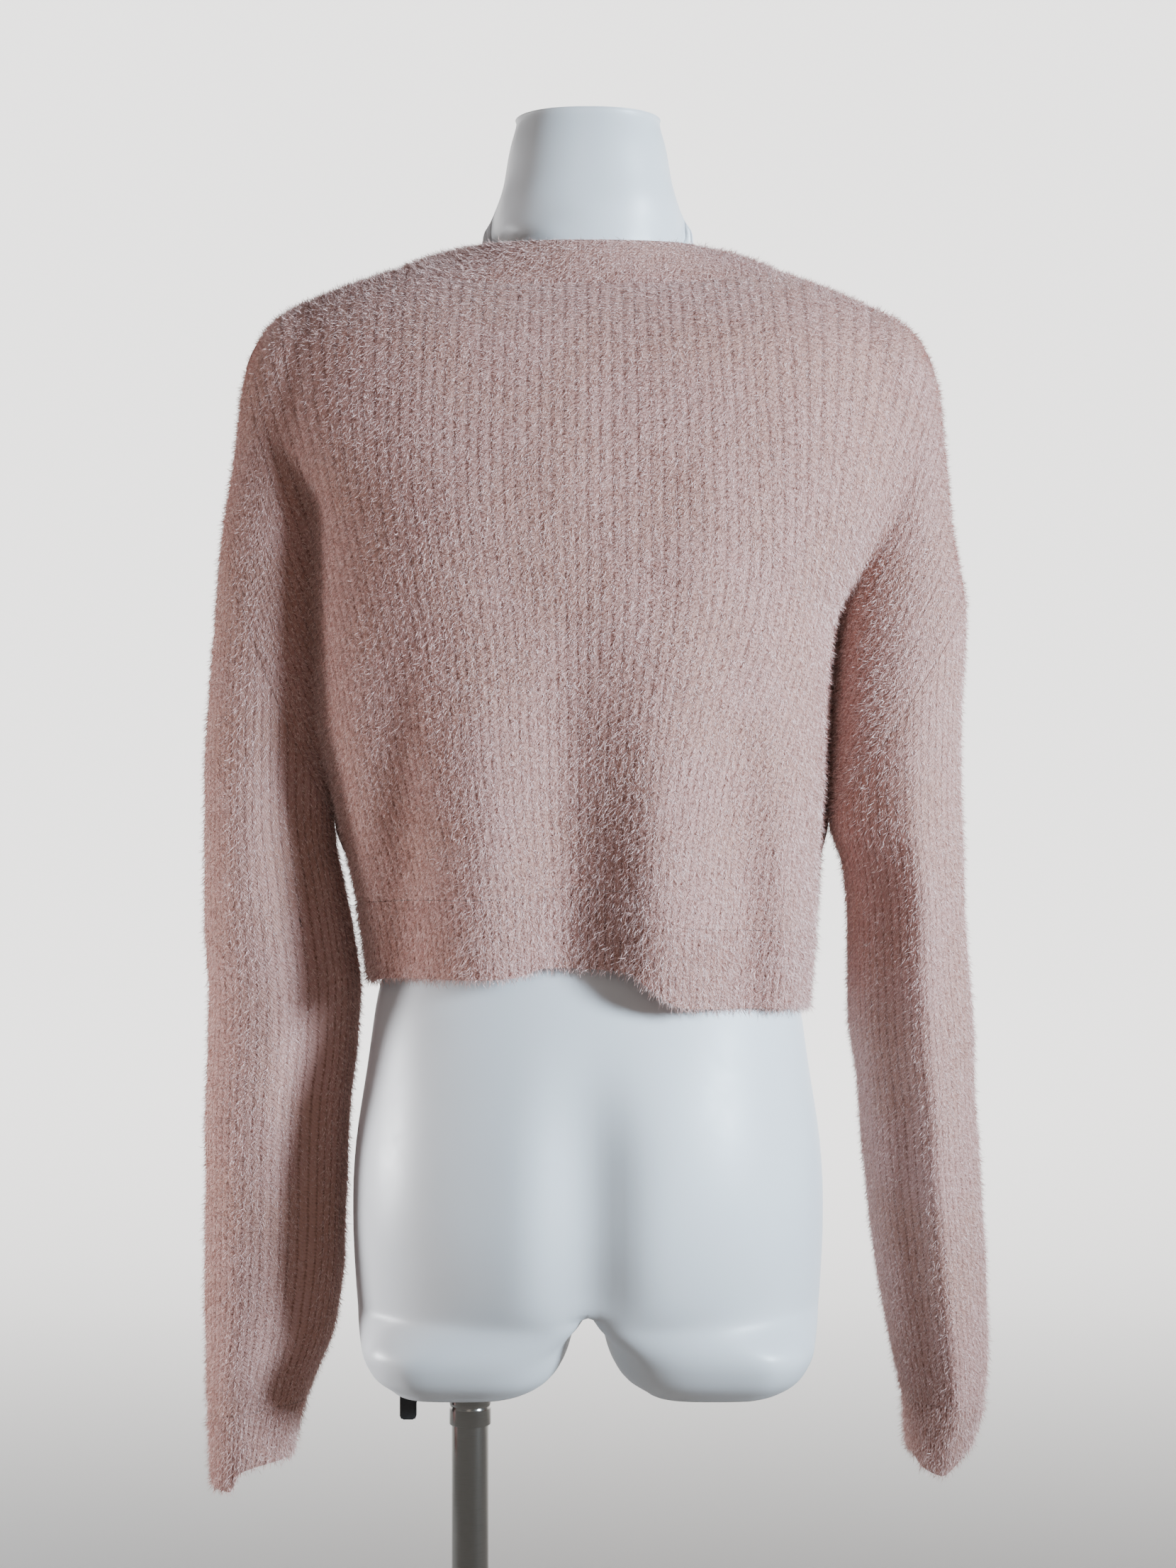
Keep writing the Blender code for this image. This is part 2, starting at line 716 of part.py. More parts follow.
def front_top(side):
    """A front's top row (x, z): the edge of the V, then the shoulder line."""
    v_columns = 20
    share = np.linspace(0, 1, v_columns + 1)
    low_x = BAND_WIDTH / 2
    high_z = shoulder_height(NECK_SEAM_HALF_WIDTH, side)
    edge = np.stack(
        [
            low_x + (NECK_SEAM_HALF_WIDTH - low_x) * share,
            V_POINT_HEIGHT + (high_z - V_POINT_HEIGHT) * share,
        ],
        axis=-1,
    )
    shoulder = shoulder_path(side, 2 * FRONT_RIBS - v_columns)
    return np.concatenate([edge, shoulder[1:]])


def make_front(side, name, cloth):
    columns = 2 * FRONT_RIBS
    outer, inner, seam = half_panel(side, "front", front_top(side), BAND_WIDTH / 2, columns)
    into = np.array([side * SEAM_GAP / 2, 0, 0])
    upright = {"outer": outer[1:, 0].copy(), "inner": inner[1:, 0].copy()}
    outer[:, 0] += into
    inner[:, 0] += into
    picked = every_fourth(columns)
    wall_object(name, outer, inner[:, picked], picked, cloth)
    return {"v": seam, "upright": upright}


# The hem's rib band


def hem_grid(side, face, first_x, columns):
    """The hem band's outer surface below the panels, as rows of points from first_x outwards."""
    rows = []
    fine = np.linspace(0, 1, 161)
    for drop in (0.0, 1.0):
        last_x = side_width(side, 1010.0 - 40 * drop)
        for _ in range(3):
            x = first_x + (last_x - first_x) * np.sin(fine * math.pi / 2)
            edge = across(BACK_HEM if face == "back" else FRONT_HEM, side * x)
            z = edge + HEM_BAND * (1 - drop)
            last_x = float(side_width(side, z[-1]))
        z = z - SEAM_GAP / 2 * (drop == 0.0)
        y = body_depth(x, z, side, face)
        y[-1] = 0
        points = np.stack([x, y, z], axis=-1)
        share = even_stations(points, columns)
        rows.append(np.stack([np.interp(share, fine, points[:, k]) for k in range(3)], axis=-1))
    sign = 1 if face == "back" else -1
    return np.array(rows) * np.array([side, sign, 1])


def half_hem(side, face, first_x, columns):
    base = hem_grid(side, face, first_x, columns)
    sign = 1 if face == "back" else -1
    normals = grid_normals(base, np.array([side * 0.35, sign, 0.0]))
    normals[:, -1] = (side, 0, 0)
    normals[..., 2] = 0
    normals = unit(normals)
    outer = base + normals * rib_lift(columns)[None, :, None]
    inner = base - normals * WALL
    outer[:, -1, 1] = inner[:, -1, 1] = sign * SEAM_GAP / 2
    return outer, inner, base


def make_back_hem(cloth):
    columns = 2 * BACK_RIBS
    right = half_hem(-1, "back", 0.0, columns)
    left = half_hem(1, "back", 0.0, columns)
    outer = np.concatenate([right[0][:, ::-1], left[0][:, 1:]], axis=1)
    inner = np.concatenate([right[1][:, ::-1], left[1][:, 1:]], axis=1)
    picked = every_fourth(2 * columns)
    wall_object("hem_back", outer, inner[:, picked], picked, cloth)


def make_front_hem(side, name, cloth):
    columns = 2 * FRONT_RIBS
    outer, inner, base = half_hem(side, "front", BAND_WIDTH / 2, columns)
    upright = {"outer": outer[:, 0].copy(), "inner": inner[:, 0].copy()}
    into = np.array([side * SEAM_GAP / 2, 0, 0])
    outer[:, 0] += into
    inner[:, 0] += into
    picked = every_fourth(columns)
    wall_object(name, outer, inner[:, picked], picked, cloth)
    return upright


# The neckband and the front bands


def band_rows(seam_outer, seam_inner, free, crown, outwards):
    """Outer and inner grids of a band between a seam and a free edge, slightly crowned."""
    shares = (0.0, 0.34, 0.67, 1.0)
    outer = np.array([seam_outer + (free - seam_outer) * s for s in shares])
    normals = grid_normals(outer, outwards)
    lift = np.array([crown * 4 * s * (1 - s) for s in shares])
    outer = outer + normals * lift[:, None, None]
    inner = outer - normals * WALL
    inner[0] = seam_inner
    return outer, inner


def make_neckband(seams, cloth):
    """The band behind the neck, from shoulder seam to shoulder seam."""
    parts = {}
    for key in ("outer", "inner", "down"):
        parts[key] = np.concatenate([seams[-1][key][::-1], seams[1][key][1:]])
    half_gap = SEAM_GAP / 2
    outer_seam = parts["outer"] - parts["down"] * SEAM_GAP
    inner_seam = parts["inner"] - parts["down"] * SEAM_GAP
    turn = np.linspace(-math.pi / 2, math.pi / 2, len(outer_seam))
    rise = NECK_EDGE_SIDE_HEIGHT - NECK_EDGE_BACK_HEIGHT
    free = np.stack(
        [
            NECK_EDGE_HALF_WIDTH * np.sin(turn),
            NECK_EDGE_BACK_DEPTH * np.cos(turn),
            NECK_EDGE_BACK_HEIGHT + rise * np.sin(turn) ** 2,
        ],
        axis=-1,
    )
    outwards = np.stack([np.sin(turn), np.cos(turn), np.full(len(turn), 0.6)], axis=-1)
    outer, inner = band_rows(outer_seam, inner_seam, free, 1.6, outwards)
    for end, side in ((0, -1), (-1, 1)):
        normals = edge_normals(outer[:, end] * [1, 0, 1], side)
        inner[1:, end] = outer[1:, end] - normals[1:] * WALL
        outer[:, end, 1] = inner[:, end, 1] = half_gap
    picked = every_fourth(len(turn) - 1)
    wall_object("neckband", outer, inner[:, picked], picked, cloth)


def lap_offset(side, z):
    """How far a front band's free edge leaves the fronts' surface where the bands cross."""
    lap = smooth_step((LAP_STARTS - z) / (LAP_STARTS - LAP_FULL)) * BAND_LAP
    return lap * (1 if side > 0 else -1)


def make_front_band(side, name, front, hem_upright, cloth):
    """One front's band: up the opening from the hem, along the V and over to the shoulder seam."""
    half_gap = SEAM_GAP / 2
    v = front["v"]
    count = len(v["outer"])
    upright = front["upright"]
    outer_seam = np.concatenate([hem_upright["outer"][::-1], upright["outer"][::-1], v["outer"]])
    inner_seam = np.concatenate([hem_upright["inner"][::-1], upright["inner"][::-1], v["inner"]])
    lower = len(outer_seam) - count
    into = np.concatenate([np.tile([side, 0.0, 0.0], (lower, 1)), v["down"]])
    into[lower] = unit(into[lower] + np.array([side, 0, 0]))
    outer_seam = outer_seam - into * half_gap
    inner_seam = inner_seam - into * half_gap
    share = np.concatenate([np.zeros(lower), np.linspace(0, 1, count)])
    rise = NECK_EDGE_SIDE_HEIGHT - V_POINT_HEIGHT
    shares = (0.0, 0.34, 0.67, 1.0)
    outer = []
    for s in shares:
        free_x = -BAND_WIDTH / 2 + (NECK_EDGE_HALF_WIDTH + BAND_WIDTH / 2) * share
        free_z = np.where(share > 0, V_POINT_HEIGHT + rise * share, outer_seam[:, 2])
        x = side * outer_seam[:, 0] * (1 - s) + free_x * s
        z = outer_seam[:, 2] * (1 - s) + free_z * s
        own = np.where(x >= 0, side, -side)
        y = np.array([-body_depth(abs(a), b, c, "front") for a, b, c in zip(x, z, own)])
        y = y - 1.2 * 4 * s * (1 - s)
        y = y + lap_offset(side, z) * s
        outer.append(np.stack([side * x, y, z], axis=-1))
    outer = np.array(outer)
    outer[0] = outer_seam
    outwards = np.array([0.0, -1.0, 0.3])
    normals = grid_normals(outer, outwards)
    inner = outer - normals * WALL
    inner[0] = inner_seam
    end = edge_normals(outer[:, -1] * [1, 0, 1], side)
    inner[1:, -1] = outer[1:, -1] - end[1:] * WALL
    outer[:, -1, 1] = inner[:, -1, 1] = -half_gap
    picked = np.arange(len(outer_seam))
    wall_object(name, outer, inner, picked, cloth)
    return outer, normals


# The sleeves and their cuffs


def make_sleeve(side, name, cloth):
    columns = 2 * SLEEVE_RIBS
    cuff = LEFT_CUFF_SEAM if side > 0 else RIGHT_CUFF_SEAM
    angles = np.linspace(0, 2 * math.pi, columns + 1)[:-1]
    along = np.linspace(0, 1, SLEEVE_ROWS + 1)
    base = np.array([sleeve_point(angles, t, side, cuff) for t in along])
    normals = tube_normals(base)
    lift = np.zeros(columns)
    lift[1::2] = RIB_HEIGHT
    outer = base + normals * lift[None, :, None]
    inner = base - normals * WALL
    ring = armhole_ring(side)
    half_gap = SEAM_GAP / 2
    for c, angle in enumerate(angles):
        face = "back" if angle <= math.pi else "front"
        turn = angle if angle <= math.pi else 2 * math.pi - angle
        place = turn / math.pi * PANEL_ROWS_ABOVE_UNDERARM
        low = min(int(place), PANEL_ROWS_ABOVE_UNDERARM - 1)
        mix = place - low
        for grid, key in ((outer, "outer"), (inner, "inner")):
            set_back = ring[face][key] - ring[face]["into_body"] * ARMHOLE_GAP / 2
            grid[0, c] = set_back[low] * (1 - mix) + set_back[low + 1] * mix
    outer[-1, :, 2] += half_gap
    inner[-1, :, 2] = outer[-1, :, 2]
    picked = np.arange(0, columns, 4)
    wall_object(name, outer, inner[:, picked], picked, cloth, closed=True)


def tube_normals(base):
    """Outward normals of a grid that closes on itself across its columns."""
    down = np.gradient(base, axis=0)
    round_ = np.roll(base, -1, axis=1) - np.roll(base, 1, axis=1)
    normal = unit(np.cross(round_, down))
    middle = base.mean(axis=1, keepdims=True)
    flip = np.sign((normal * (base - middle)).sum(-1).mean())
    return normal * flip


LEFT_CUFF_EDGE = ((0.0, 645), (0.28, 645), (0.42, 657), (0.65, 661), (1.0, 664))
RIGHT_CUFF_EDGE = ((0.0, 672), (0.2, 664), (0.5, 656), (0.8, 659), (1.0, 668))


def make_cuff(side, name, cloth):
    columns = 2 * SLEEVE_RIBS
    cuff = LEFT_CUFF_SEAM if side > 0 else RIGHT_CUFF_SEAM
    edge = np.array(LEFT_CUFF_EDGE if side > 0 else RIGHT_CUFF_EDGE)
    angles = np.linspace(0, 2 * math.pi, columns + 1)[:-1]
    share = (1 - np.cos(angles)) / 2
    top = cuff["outer"] + (cuff["inner"] - cuff["outer"]) * share - SEAM_GAP / 2
    bottom = smooth_curve(edge[:, 0], edge[:, 1], share)
    rows = sleeve_rows(side)
    base = []
    for drop in (0.0, 1.0):
        z = top + (bottom - top) * drop
        inner, outer = look_up(rows, "inner", z), look_up(rows, "outer", z)
        depth = look_up(rows, "half_depth", z) * np.sin(angles)
        depth = depth * (1 + sleeve_fold(angles, z, side))
        x = outer + (inner - outer) * share
        y = look_up(rows, "middle", z) + depth
        base.append(np.stack([side * x, y, z], axis=-1))
    base = np.array(base)
    normals = tube_normals(base)
    normals[..., 2] = 0
    normals = unit(normals)
    lift = np.zeros(columns)
    lift[1::2] = RIB_HEIGHT * 0.7
    outer = base + normals * lift[None, :, None]
    inner = base - normals * WALL
    picked = np.arange(0, columns, 4)
    wall_object(name, outer, inner[:, picked], picked, cloth, closed=True)


# Buttons


def make_buttons(band, normals, finish):
    """Plain round buttons down the middle of the upper band, lying on it."""
    middle = (band[1] * 0.5 + band[2] * 0.5)
    middle_normals = unit(normals[1] + normals[2])
    for n in range(BUTTONS):
        height = FIRST_BUTTON_HEIGHT + (LAST_BUTTON_HEIGHT - FIRST_BUTTON_HEIGHT) * n / (BUTTONS - 1)
        rising = middle[:, 2]
        place = [np.interp(height, rising, middle[:, k]) for k in range(3)]
        normal = unit([np.interp(height, rising, middle_normals[:, k]) for k in range(3)])
        centre = np.array(place) + normal * (SEAM_GAP + BUTTON_THICKNESS / 2 + 0.25)
        across_x = unit(np.cross(normal, [0, 0, 1.0]))
        up = np.cross(across_x, normal)
        profile = ((0.0, -0.5), (0.9, -0.5), (1.0, 0.2), (0.86, 0.5), (0.62, 0.2), (0.0, 0.2))
        sides = 14
        points, faces = [], []
        ring_start = []
        for radius, level in profile:
            ring_start.append(len(points))
            steps = 1 if radius == 0 else sides
            for k in range(steps):
                turn = 2 * math.pi * k / sides
                spot = centre + normal * level * BUTTON_THICKNESS
                out = across_x * math.cos(turn) + up * math.sin(turn)
                points.append(spot + out * radius * BUTTON_DIAMETER / 2)
        for (r0, _), (r1, _), a, b in zip(profile, profile[1:], ring_start, ring_start[1:]):
            for k in range(sides):
                k1 = (k + 1) % sides
                if r0 == 0:
                    faces.append((a, b + k, b + k1))
                elif r1 == 0:
                    faces.append((a + k, b, a + k1))
                else:
                    faces.append((a + k, b + k, b + k1, a + k1))
        new_object(f"button_{n + 1}", points, faces, finish)


# The dress form


def inside_of(names):
    """A tree of the named pieces' surfaces, for finding where the cloth lies."""
    points, faces = [], []
    for name in names:
        mesh = bpy.data.objects[name].data
        first = len(points)
        points += [tuple(np.array(v.co) / MM) for v in mesh.vertices]
        faces += [[first + k for k in polygon.vertices] for polygon in mesh.polygons]
    return BVHTree.FromPolygons(points, faces)


def room(cloth, x, z, direction):
    """How far the cloth's inside lies from the seams' plane, in one direction."""
    spot = cloth.ray_cast(Vector((x, 0.5 * direction[1], z + FORM_CLEARANCE)), Vector(direction))
    return 999.0 if spot[3] is None else spot[3] + 0.5 - FORM_CLEARANCE


def form_half_width(z, cloth):
    width = float(look_up(FORM, "half_width", z))
    if cloth is None:
        return width
    for y in (0.5, -0.5):
        for way in (1, -1):
            start = Vector((0, y, z + FORM_CLEARANCE))
            spot = cloth.ray_cast(start, Vector((way, 0, 0)))
            if spot[3] is not None:
                width = min(width, spot[3] - FORM_CLEARANCE)
    return width


def form_depth(x, z, face, width, cloth):
    """How far the form's surface lies behind or before the seams' plane at a place."""
    reach = min(abs(x) / width, 1)
    oval = (1 - reach**FORM_SQUARENESS) ** 0.5
    depth = float(look_up(FORM, face, z)) * oval
    if face == "back":
        cleft = CLEFT["depth"] * math.exp(-((x / CLEFT["half_width"]) ** 2))
        cleft = cleft * smooth_step((CLEFT["top"] - z) / CLEFT["fade"])
        fold = math.exp(-(((z - SEAT_FOLD["height"]) / SEAT_FOLD["half_height"]) ** 2))
        fold = fold * SEAT_FOLD["depth"] * smooth_step((SEAT_FOLD["end"] - abs(x)) / SEAT_FOLD["fade"])
        depth = depth - (cleft + fold) * oval
    else:
        bust = math.exp(-(((abs(x) - FORM_BUST["x"]) / FORM_BUST["half_width"]) ** 2))
        bust = bust * math.exp(-(((z - FORM_BUST["height"]) / FORM_BUST["half_height"]) ** 2))
        depth = depth + FORM_BUST["depth"] * bust * oval
    if cloth is None or oval == 0:
        return depth
    if z > UNDER_SHOULDER_HEIGHT:
        under = WALL + 2 * FORM_CLEARANCE
        over = min(float(body_depth(abs(x), z + under, side, face)) for side in (1, -1))
        round_neck = max(1 - (x / NECK_FOOT["half_width"]) ** 2, 0) ** 0.5
        neck = min(float(look_up(FORM, face, NECK_FOOT["height"])) * round_neck, depth)
        depth = min(depth, max(over - under, 0.3 * over, neck if z > NECK_FOOT["top"] else 0))
    sign = 1.0 if face == "back" else -1.0
    free = min(room(cloth, x + near, z, (0.0, sign, 0.0)) for near in (-10, -5, 0, 5, 10))
    return max(min(depth, free), 0.4)


FORM_QUARTER = 8
FORM_LEVELS = (
    (1514.5, 1512.5, 1497, 1476, 1461, 1450, 1441, 1431, 1421)
    + (1410, 1399, 1387, 1371, 1345, 1312, 1270, 1225)
    + (1180, 1130, 1085, 1040, 1000, 970, 945, 909)
    + (865, 820, 785, 768)
)


def form_ring(z, cloth):
    """A ring of the torso: from the back's middle to the wearer's left, the front and round."""
    turn = np.linspace(0, math.pi / 2, FORM_QUARTER + 1)
    width = form_half_width(z, cloth)
    quarter = width * np.sin(turn)

    def half(side):
        back = [(side * x, form_depth(side * x, z, "back", width, cloth), z) for x in quarter[:-1]]
        front = [(side * x, -form_depth(side * x, z, "front", width, cloth), z) for x in quarter[:-1]]
        return back + [(side * width, 0.0, z)] + front[::-1]

    return np.array(half(1) + half(-1)[-2:0:-1])


def squared(way):
    """A cosine or sine that draws a thigh's section as a square with round corners."""
    return np.sign(way) * np.abs(way) ** (2 / THIGH_SQUARENESS)


def leg_ring(z, side):
    """A ring of one thigh, starting at its back inner corner and going round its outside."""
    whole = form_ring(z, None)
    half = whole[: 2 * FORM_QUARTER + 1].copy()
    gap = np.array(THIGH_GAP)
    inner_x = float(np.interp(-z, -gap[:, 0], gap[:, 1]))
    outer_x = form_half_width(z, None)
    middle = (inner_x + outer_x) / 2
    radius = (outer_x - inner_x) / 2
    back = float(look_up(FORM, "back", z))
    front = float(look_up(FORM, "front", z))
    blend = float(smooth_step((CROTCH_HEIGHT - z) / 34))
    turn = np.linspace(0, math.pi, len(half))
    angle = math.pi / 2 + LEG_OPENING - turn * (math.pi + 2 * LEG_OPENING) / math.pi
    round_x = middle + radius * squared(np.cos(angle))
    depth = np.where(np.sin(angle) > 0, back, front)
    round_y = depth * squared(np.sin(angle))
    round_points = np.stack([round_x, round_y, np.full(len(half), z)], axis=-1)
    half[0, 0] = half[-1, 0] = inner_x
    outside = half * (1 - blend) + round_points * blend
    gap_steps = 4
    gap_turn = np.linspace(angle[-1], angle[0] - 2 * math.pi, gap_steps + 1)[1:-1]
    inside = []
    for k, a in enumerate(gap_turn):
        share = (k + 1) / gap_steps
        flat = outside[-1] * (1 - share) + outside[0] * share
        deep = back if math.sin(a) > 0 else front
        bulge = np.array([middle + radius * squared(np.cos(a)), deep * squared(np.sin(a)), z])
        flat[0] = inner_x
        inside.append(flat * (1 - blend) + bulge * blend)
    ring = np.concatenate([outside, np.array(inside)])
    return ring * np.array([side, 1, 1])


def make_form(plastic, cloth):
    points, faces = [], []

    def add(ring):
        start = len(points)
        points.extend(ring)
        return list(range(start, len(points)))

    def bridge(upper, lower):
        count = len(upper)
        for k in range(count):
            k1 = (k + 1) % count
            faces.append((upper[k], lower[k], lower[k1], upper[k1]))

    rings = [add(form_ring(z, cloth if z > 940 else None)) for z in FORM_LEVELS]
    for upper, lower in zip(rings, rings[1:]):
        bridge(upper, lower)
    crown = add([(0.0, -3.0, FORM_TOP_HEIGHT)])[0]
    top = rings[0]
    for k in range(len(top)):
        faces.append((crown, top[k], top[(k + 1) % len(top)]))

    last = rings[-1]
    half = 2 * FORM_QUARTER
    left_arc = last[: half + 1]
    right_arc = [last[0]] + last[:half - 1:-1]
    crotch_y = np.linspace(points[left_arc[-1]][1], points[left_arc[0]][1], 5)[1:-1]
    bridge_line = add([(0.0, y, CROTCH_HEIGHT) for y in crotch_y])
    for side, arc in ((1, left_arc), (-1, right_arc)):
        upper = arc + bridge_line
        for z, share in THIGH_RINGS:
            ring_points = leg_ring(z, side)
            middle = ring_points.mean(axis=0)
            lower = add(middle + (ring_points - middle) * share)
            bridge(upper, lower)
            upper = lower
        flat = leg_ring(FORM_FOOT_HEIGHT, side)
        middle = flat.mean(axis=0)
        lower = add(middle + (flat - middle) * THIGH_FOOT_SHARE)
        bridge(upper, lower)
        centre = add([middle])[0]
        for k in range(len(lower)):
            faces.append((centre, lower[(k + 1) % len(lower)], lower[k]))
    new_object("dress_form", points, faces, plastic, sharp=60)


# The stand


def turned(name, profile, sides, finish, x=0.0, y=0.0):
    """A solid or a ring turned about an upright axis from a closed profile of (radius, height)."""
    points, faces = [], []
    for radius, height in profile:
        for k in range(sides):
            turn = 2 * math.pi * k / sides
            points.append((x + radius * math.cos(turn), y + radius * math.sin(turn), height))
    count = len(profile)
    closed_ring = profile[0][0] > 0 and profile[-1][0] > 0
    for r in range(count if closed_ring else count - 1):
        for k in range(sides):
            k1 = (k + 1) % sides
            a, b = r * sides, (r + 1) % count * sides
            faces.append((a + k, a + k1, b + k1, b + k))
    shape = new_object(name, points, faces, finish)
    return shape


def make_stand(steel, black):
    bevel = 1.2
    r = BASE_DIAMETER / 2
    top = BASE_THICKNESS
    turned(
        "base_plate",
        ((0.0, 0.0), (r, 0.0), (r, top - bevel), (r - bevel, top), (0.0, top)),
        48,
        steel,
    )
    pole_r = POLE_DIAMETER / 2
    foot = top + SEAM_GAP
    head = FORM_FOOT_HEIGHT - SEAM_GAP
    turned(
        "pole",
        ((0.0, foot), (pole_r, foot), (pole_r, head), (0.0, head)),
        24,
        steel,
        POLE_X,
        POLE_Y,
    )
    bore = pole_r + SEAM_GAP
    flange_r = FLANGE_DIAMETER / 2
    collar_r = COLLAR_DIAMETER / 2
    turned(
        "base_flange",
        (
            (bore, foot),
            (flange_r, foot),
            (bore + 5, foot + 5),
            (bore + 3.5, foot + FLANGE_HEIGHT),
            (bore, foot + FLANGE_HEIGHT),
        ),
        20,
        steel,
        POLE_X,
        POLE_Y,
    )
    turned(
        "pole_collar",
        (
            (bore, head - COLLAR_HEIGHT),
            (collar_r, head - COLLAR_HEIGHT),
            (collar_r, head),
            (bore, head),
        ),
        20,
        steel,
        POLE_X,
        POLE_Y,
    )
    near = POLE_X + collar_r + SEAM_GAP
    far = near + 31.0
    arm_top, arm_low, tab_low = head - 1.0, head - 8.0, head - 21.0
    outline = (
        (near, arm_low),
        (far - 10.5, arm_low),
        (far - 10.5, tab_low + 1.5),
        (far - 9.0, tab_low),
        (far - 1.5, tab_low),
        (far, tab_low + 1.5),
        (far, arm_top - 1.5),
        (far - 1.5, arm_top),
        (near, arm_top),
    )
    half = 3.5
    points = [(x, POLE_Y - half, z) for x, z in outline] + [(x, POLE_Y + half, z) for x, z in outline]
    count = len(outline)
    faces = [tuple(range(count)), tuple(range(2 * count - 1, count - 1, -1))]
    for k in range(count):
        k1 = (k + 1) % count
        faces.append((k, k1, count + k1, count + k))
    new_object("clamp_lever", points, faces, black, smooth=False)


def main():
    for obj in list(bpy.data.objects):
        bpy.data.objects.remove(obj)
    cloth = material("pink_knit", (0.66, 0.45, 0.42), 0.95)
    plastic = material("white_plastic", (0.80, 0.81, 0.83), 0.45)
    steel = material("chromed_steel", (0.62, 0.61, 0.60), 0.15, 1.0)
    black = material("black_plastic", (0.02, 0.02, 0.02), 0.4)
    pearl = material("pink_resin", (0.78, 0.60, 0.57), 0.35)
    seams = make_back(cloth)
    make_neckband(seams, cloth)
    make_back_hem(cloth)
    for side, word in ((1, "left"), (-1, "right")):
        front = make_front(side, f"front_{word}", cloth)
        upright = make_front_hem(side, f"hem_front_{word}", cloth)
        band, normals = make_front_band(side, f"front_band_{word}", front, upright, cloth)
        if side < 0:
            make_buttons(band, normals, pearl)
        make_sleeve(side, f"sleeve_{word}", cloth)
        make_cuff(side, f"cuff_{word}", cloth)
    worn = [obj.name for obj in bpy.data.objects]
    make_form(plastic, inside_of(worn))
    make_stand(steel, black)


main()
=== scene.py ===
"""A cropped rib-knit cardigan with brushed fibres, worn on a dress form on a pole stand.

The cloth's surfaces are worked out in millimetres from the tables below and turned into metres where
a mesh is made. +Z is up, the cardigan's front faces -Y and +X is the wearer's left.
"""

import json
import math

import bmesh
import bpy
import numpy as np
from bpy.props import FloatProperty, FloatVectorProperty, IntProperty, PointerProperty
from mathutils import Matrix, Vector

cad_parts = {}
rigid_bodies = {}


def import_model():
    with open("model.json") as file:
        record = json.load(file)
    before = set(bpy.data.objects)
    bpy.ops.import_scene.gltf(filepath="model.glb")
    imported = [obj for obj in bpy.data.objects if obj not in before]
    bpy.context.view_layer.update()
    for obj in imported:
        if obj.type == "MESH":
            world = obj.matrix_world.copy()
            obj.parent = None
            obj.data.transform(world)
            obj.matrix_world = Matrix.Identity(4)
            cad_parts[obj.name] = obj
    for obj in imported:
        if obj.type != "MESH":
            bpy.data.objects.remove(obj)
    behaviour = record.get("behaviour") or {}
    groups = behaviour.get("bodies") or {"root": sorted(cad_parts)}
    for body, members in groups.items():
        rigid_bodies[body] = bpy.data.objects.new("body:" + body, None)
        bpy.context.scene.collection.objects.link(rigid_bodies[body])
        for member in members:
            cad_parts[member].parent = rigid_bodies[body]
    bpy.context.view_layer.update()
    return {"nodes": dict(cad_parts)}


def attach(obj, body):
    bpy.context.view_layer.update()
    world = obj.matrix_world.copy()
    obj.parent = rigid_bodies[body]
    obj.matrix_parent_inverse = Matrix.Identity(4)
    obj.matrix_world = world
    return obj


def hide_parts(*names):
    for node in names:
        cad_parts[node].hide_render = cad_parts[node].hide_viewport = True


bl_info = {
    "name": "Brushed rib-knit cardigan",
    "version": (1, 0, 0),
    "blender": (4, 5, 0),
    "location": "View3D > Sidebar > Cardigan",
    "description": "Builds a cropped brushed rib-knit cardigan on a dress form, with its stage",
    "category": "Object",
}

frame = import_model()

MM = 0.001

# Cloth
WALL = 3.2
BACK_RIBS = 40  # on each side of the middle of the back
FRONT_RIBS = 36  # on each front
SLEEVE_RIBS = 48
HEM_BACK_RIBS = 40  # on each side of the middle of the back
HEM_FRONT_RIBS = 33
CUFF_RIBS = 56
COLUMNS_A_RIB = 3
COLUMNS_A_FINE_RIB = 4
PANEL_ROWS = 84
SLEEVE_ROWS = 84
HEM_ROWS = 12
CUFF_ROWS = 12
BAND_COLUMNS = 10
BAND_WALES = 190
NECKBAND_WALES = 84
STITCH = 2.6  # height of a stitch
SEAM_GAP = 0.3
RIBS_EVEN_OUT = 2.2  # how soon below the top seam the ribs are evenly spaced
RIB_STEADYING = 60
HAIR_SCATTER = 0.85  # how far hairs stray from the way they are brushed
# A hair's random shares: the step of its seed, the lowest and the highest.
HAIR_STAND = (11, 0.3, 1.7)
HAIR_STRAY = (12, (-HAIR_SCATTER,) * 3, (HAIR_SCATTER,) * 3)
HAIR_SPIN = (13, 0.0, 6.283)
HAIR_LENGTH = (14, 0.45, 1.35)
HAIR_BEND = (15, 0.3, 1.3)
FUZZ = 1.3  # how far the knit lies under the outline of its hairs
SEAM_DIP = 0.25
SEAM_DIP_REACH = 2.4
HEM_RIB_SHARE = 0.8  # of a panel's rib height
SLEEVE_RIB_SHARE = 0.7
RIB_ROUNDNESS = 0.7  # less than 1 makes broad crests and narrow grooves
# The soft knit's uneven swells: height, and how long the two waves in each are across and up.
SWELL, SWELL_WAVES = 0.9, ((17.0, 43.0), (59.0, 31.0))
FINE_SWELL, FINE_WAVES = 0.45, ((9.5, 24.0), (33.0, 16.0))
SLEEVE_SWELLS = 1.4  # how much closer they lie round a sleeve
MERGE, FORM_MERGE = 2e-6, 1e-5  # in metres
PAST_END = 9  # more than any share of a chain
JOIN_FACES, JOIN_SHAPES = 50, 60  # degrees to which the form's facets are joined
CORNER_LIMIT = 2.2  # a rounded corner takes at most its sides' length over this
FORM_FITTING = 4  # times that the rounded form is drawn back to its solid

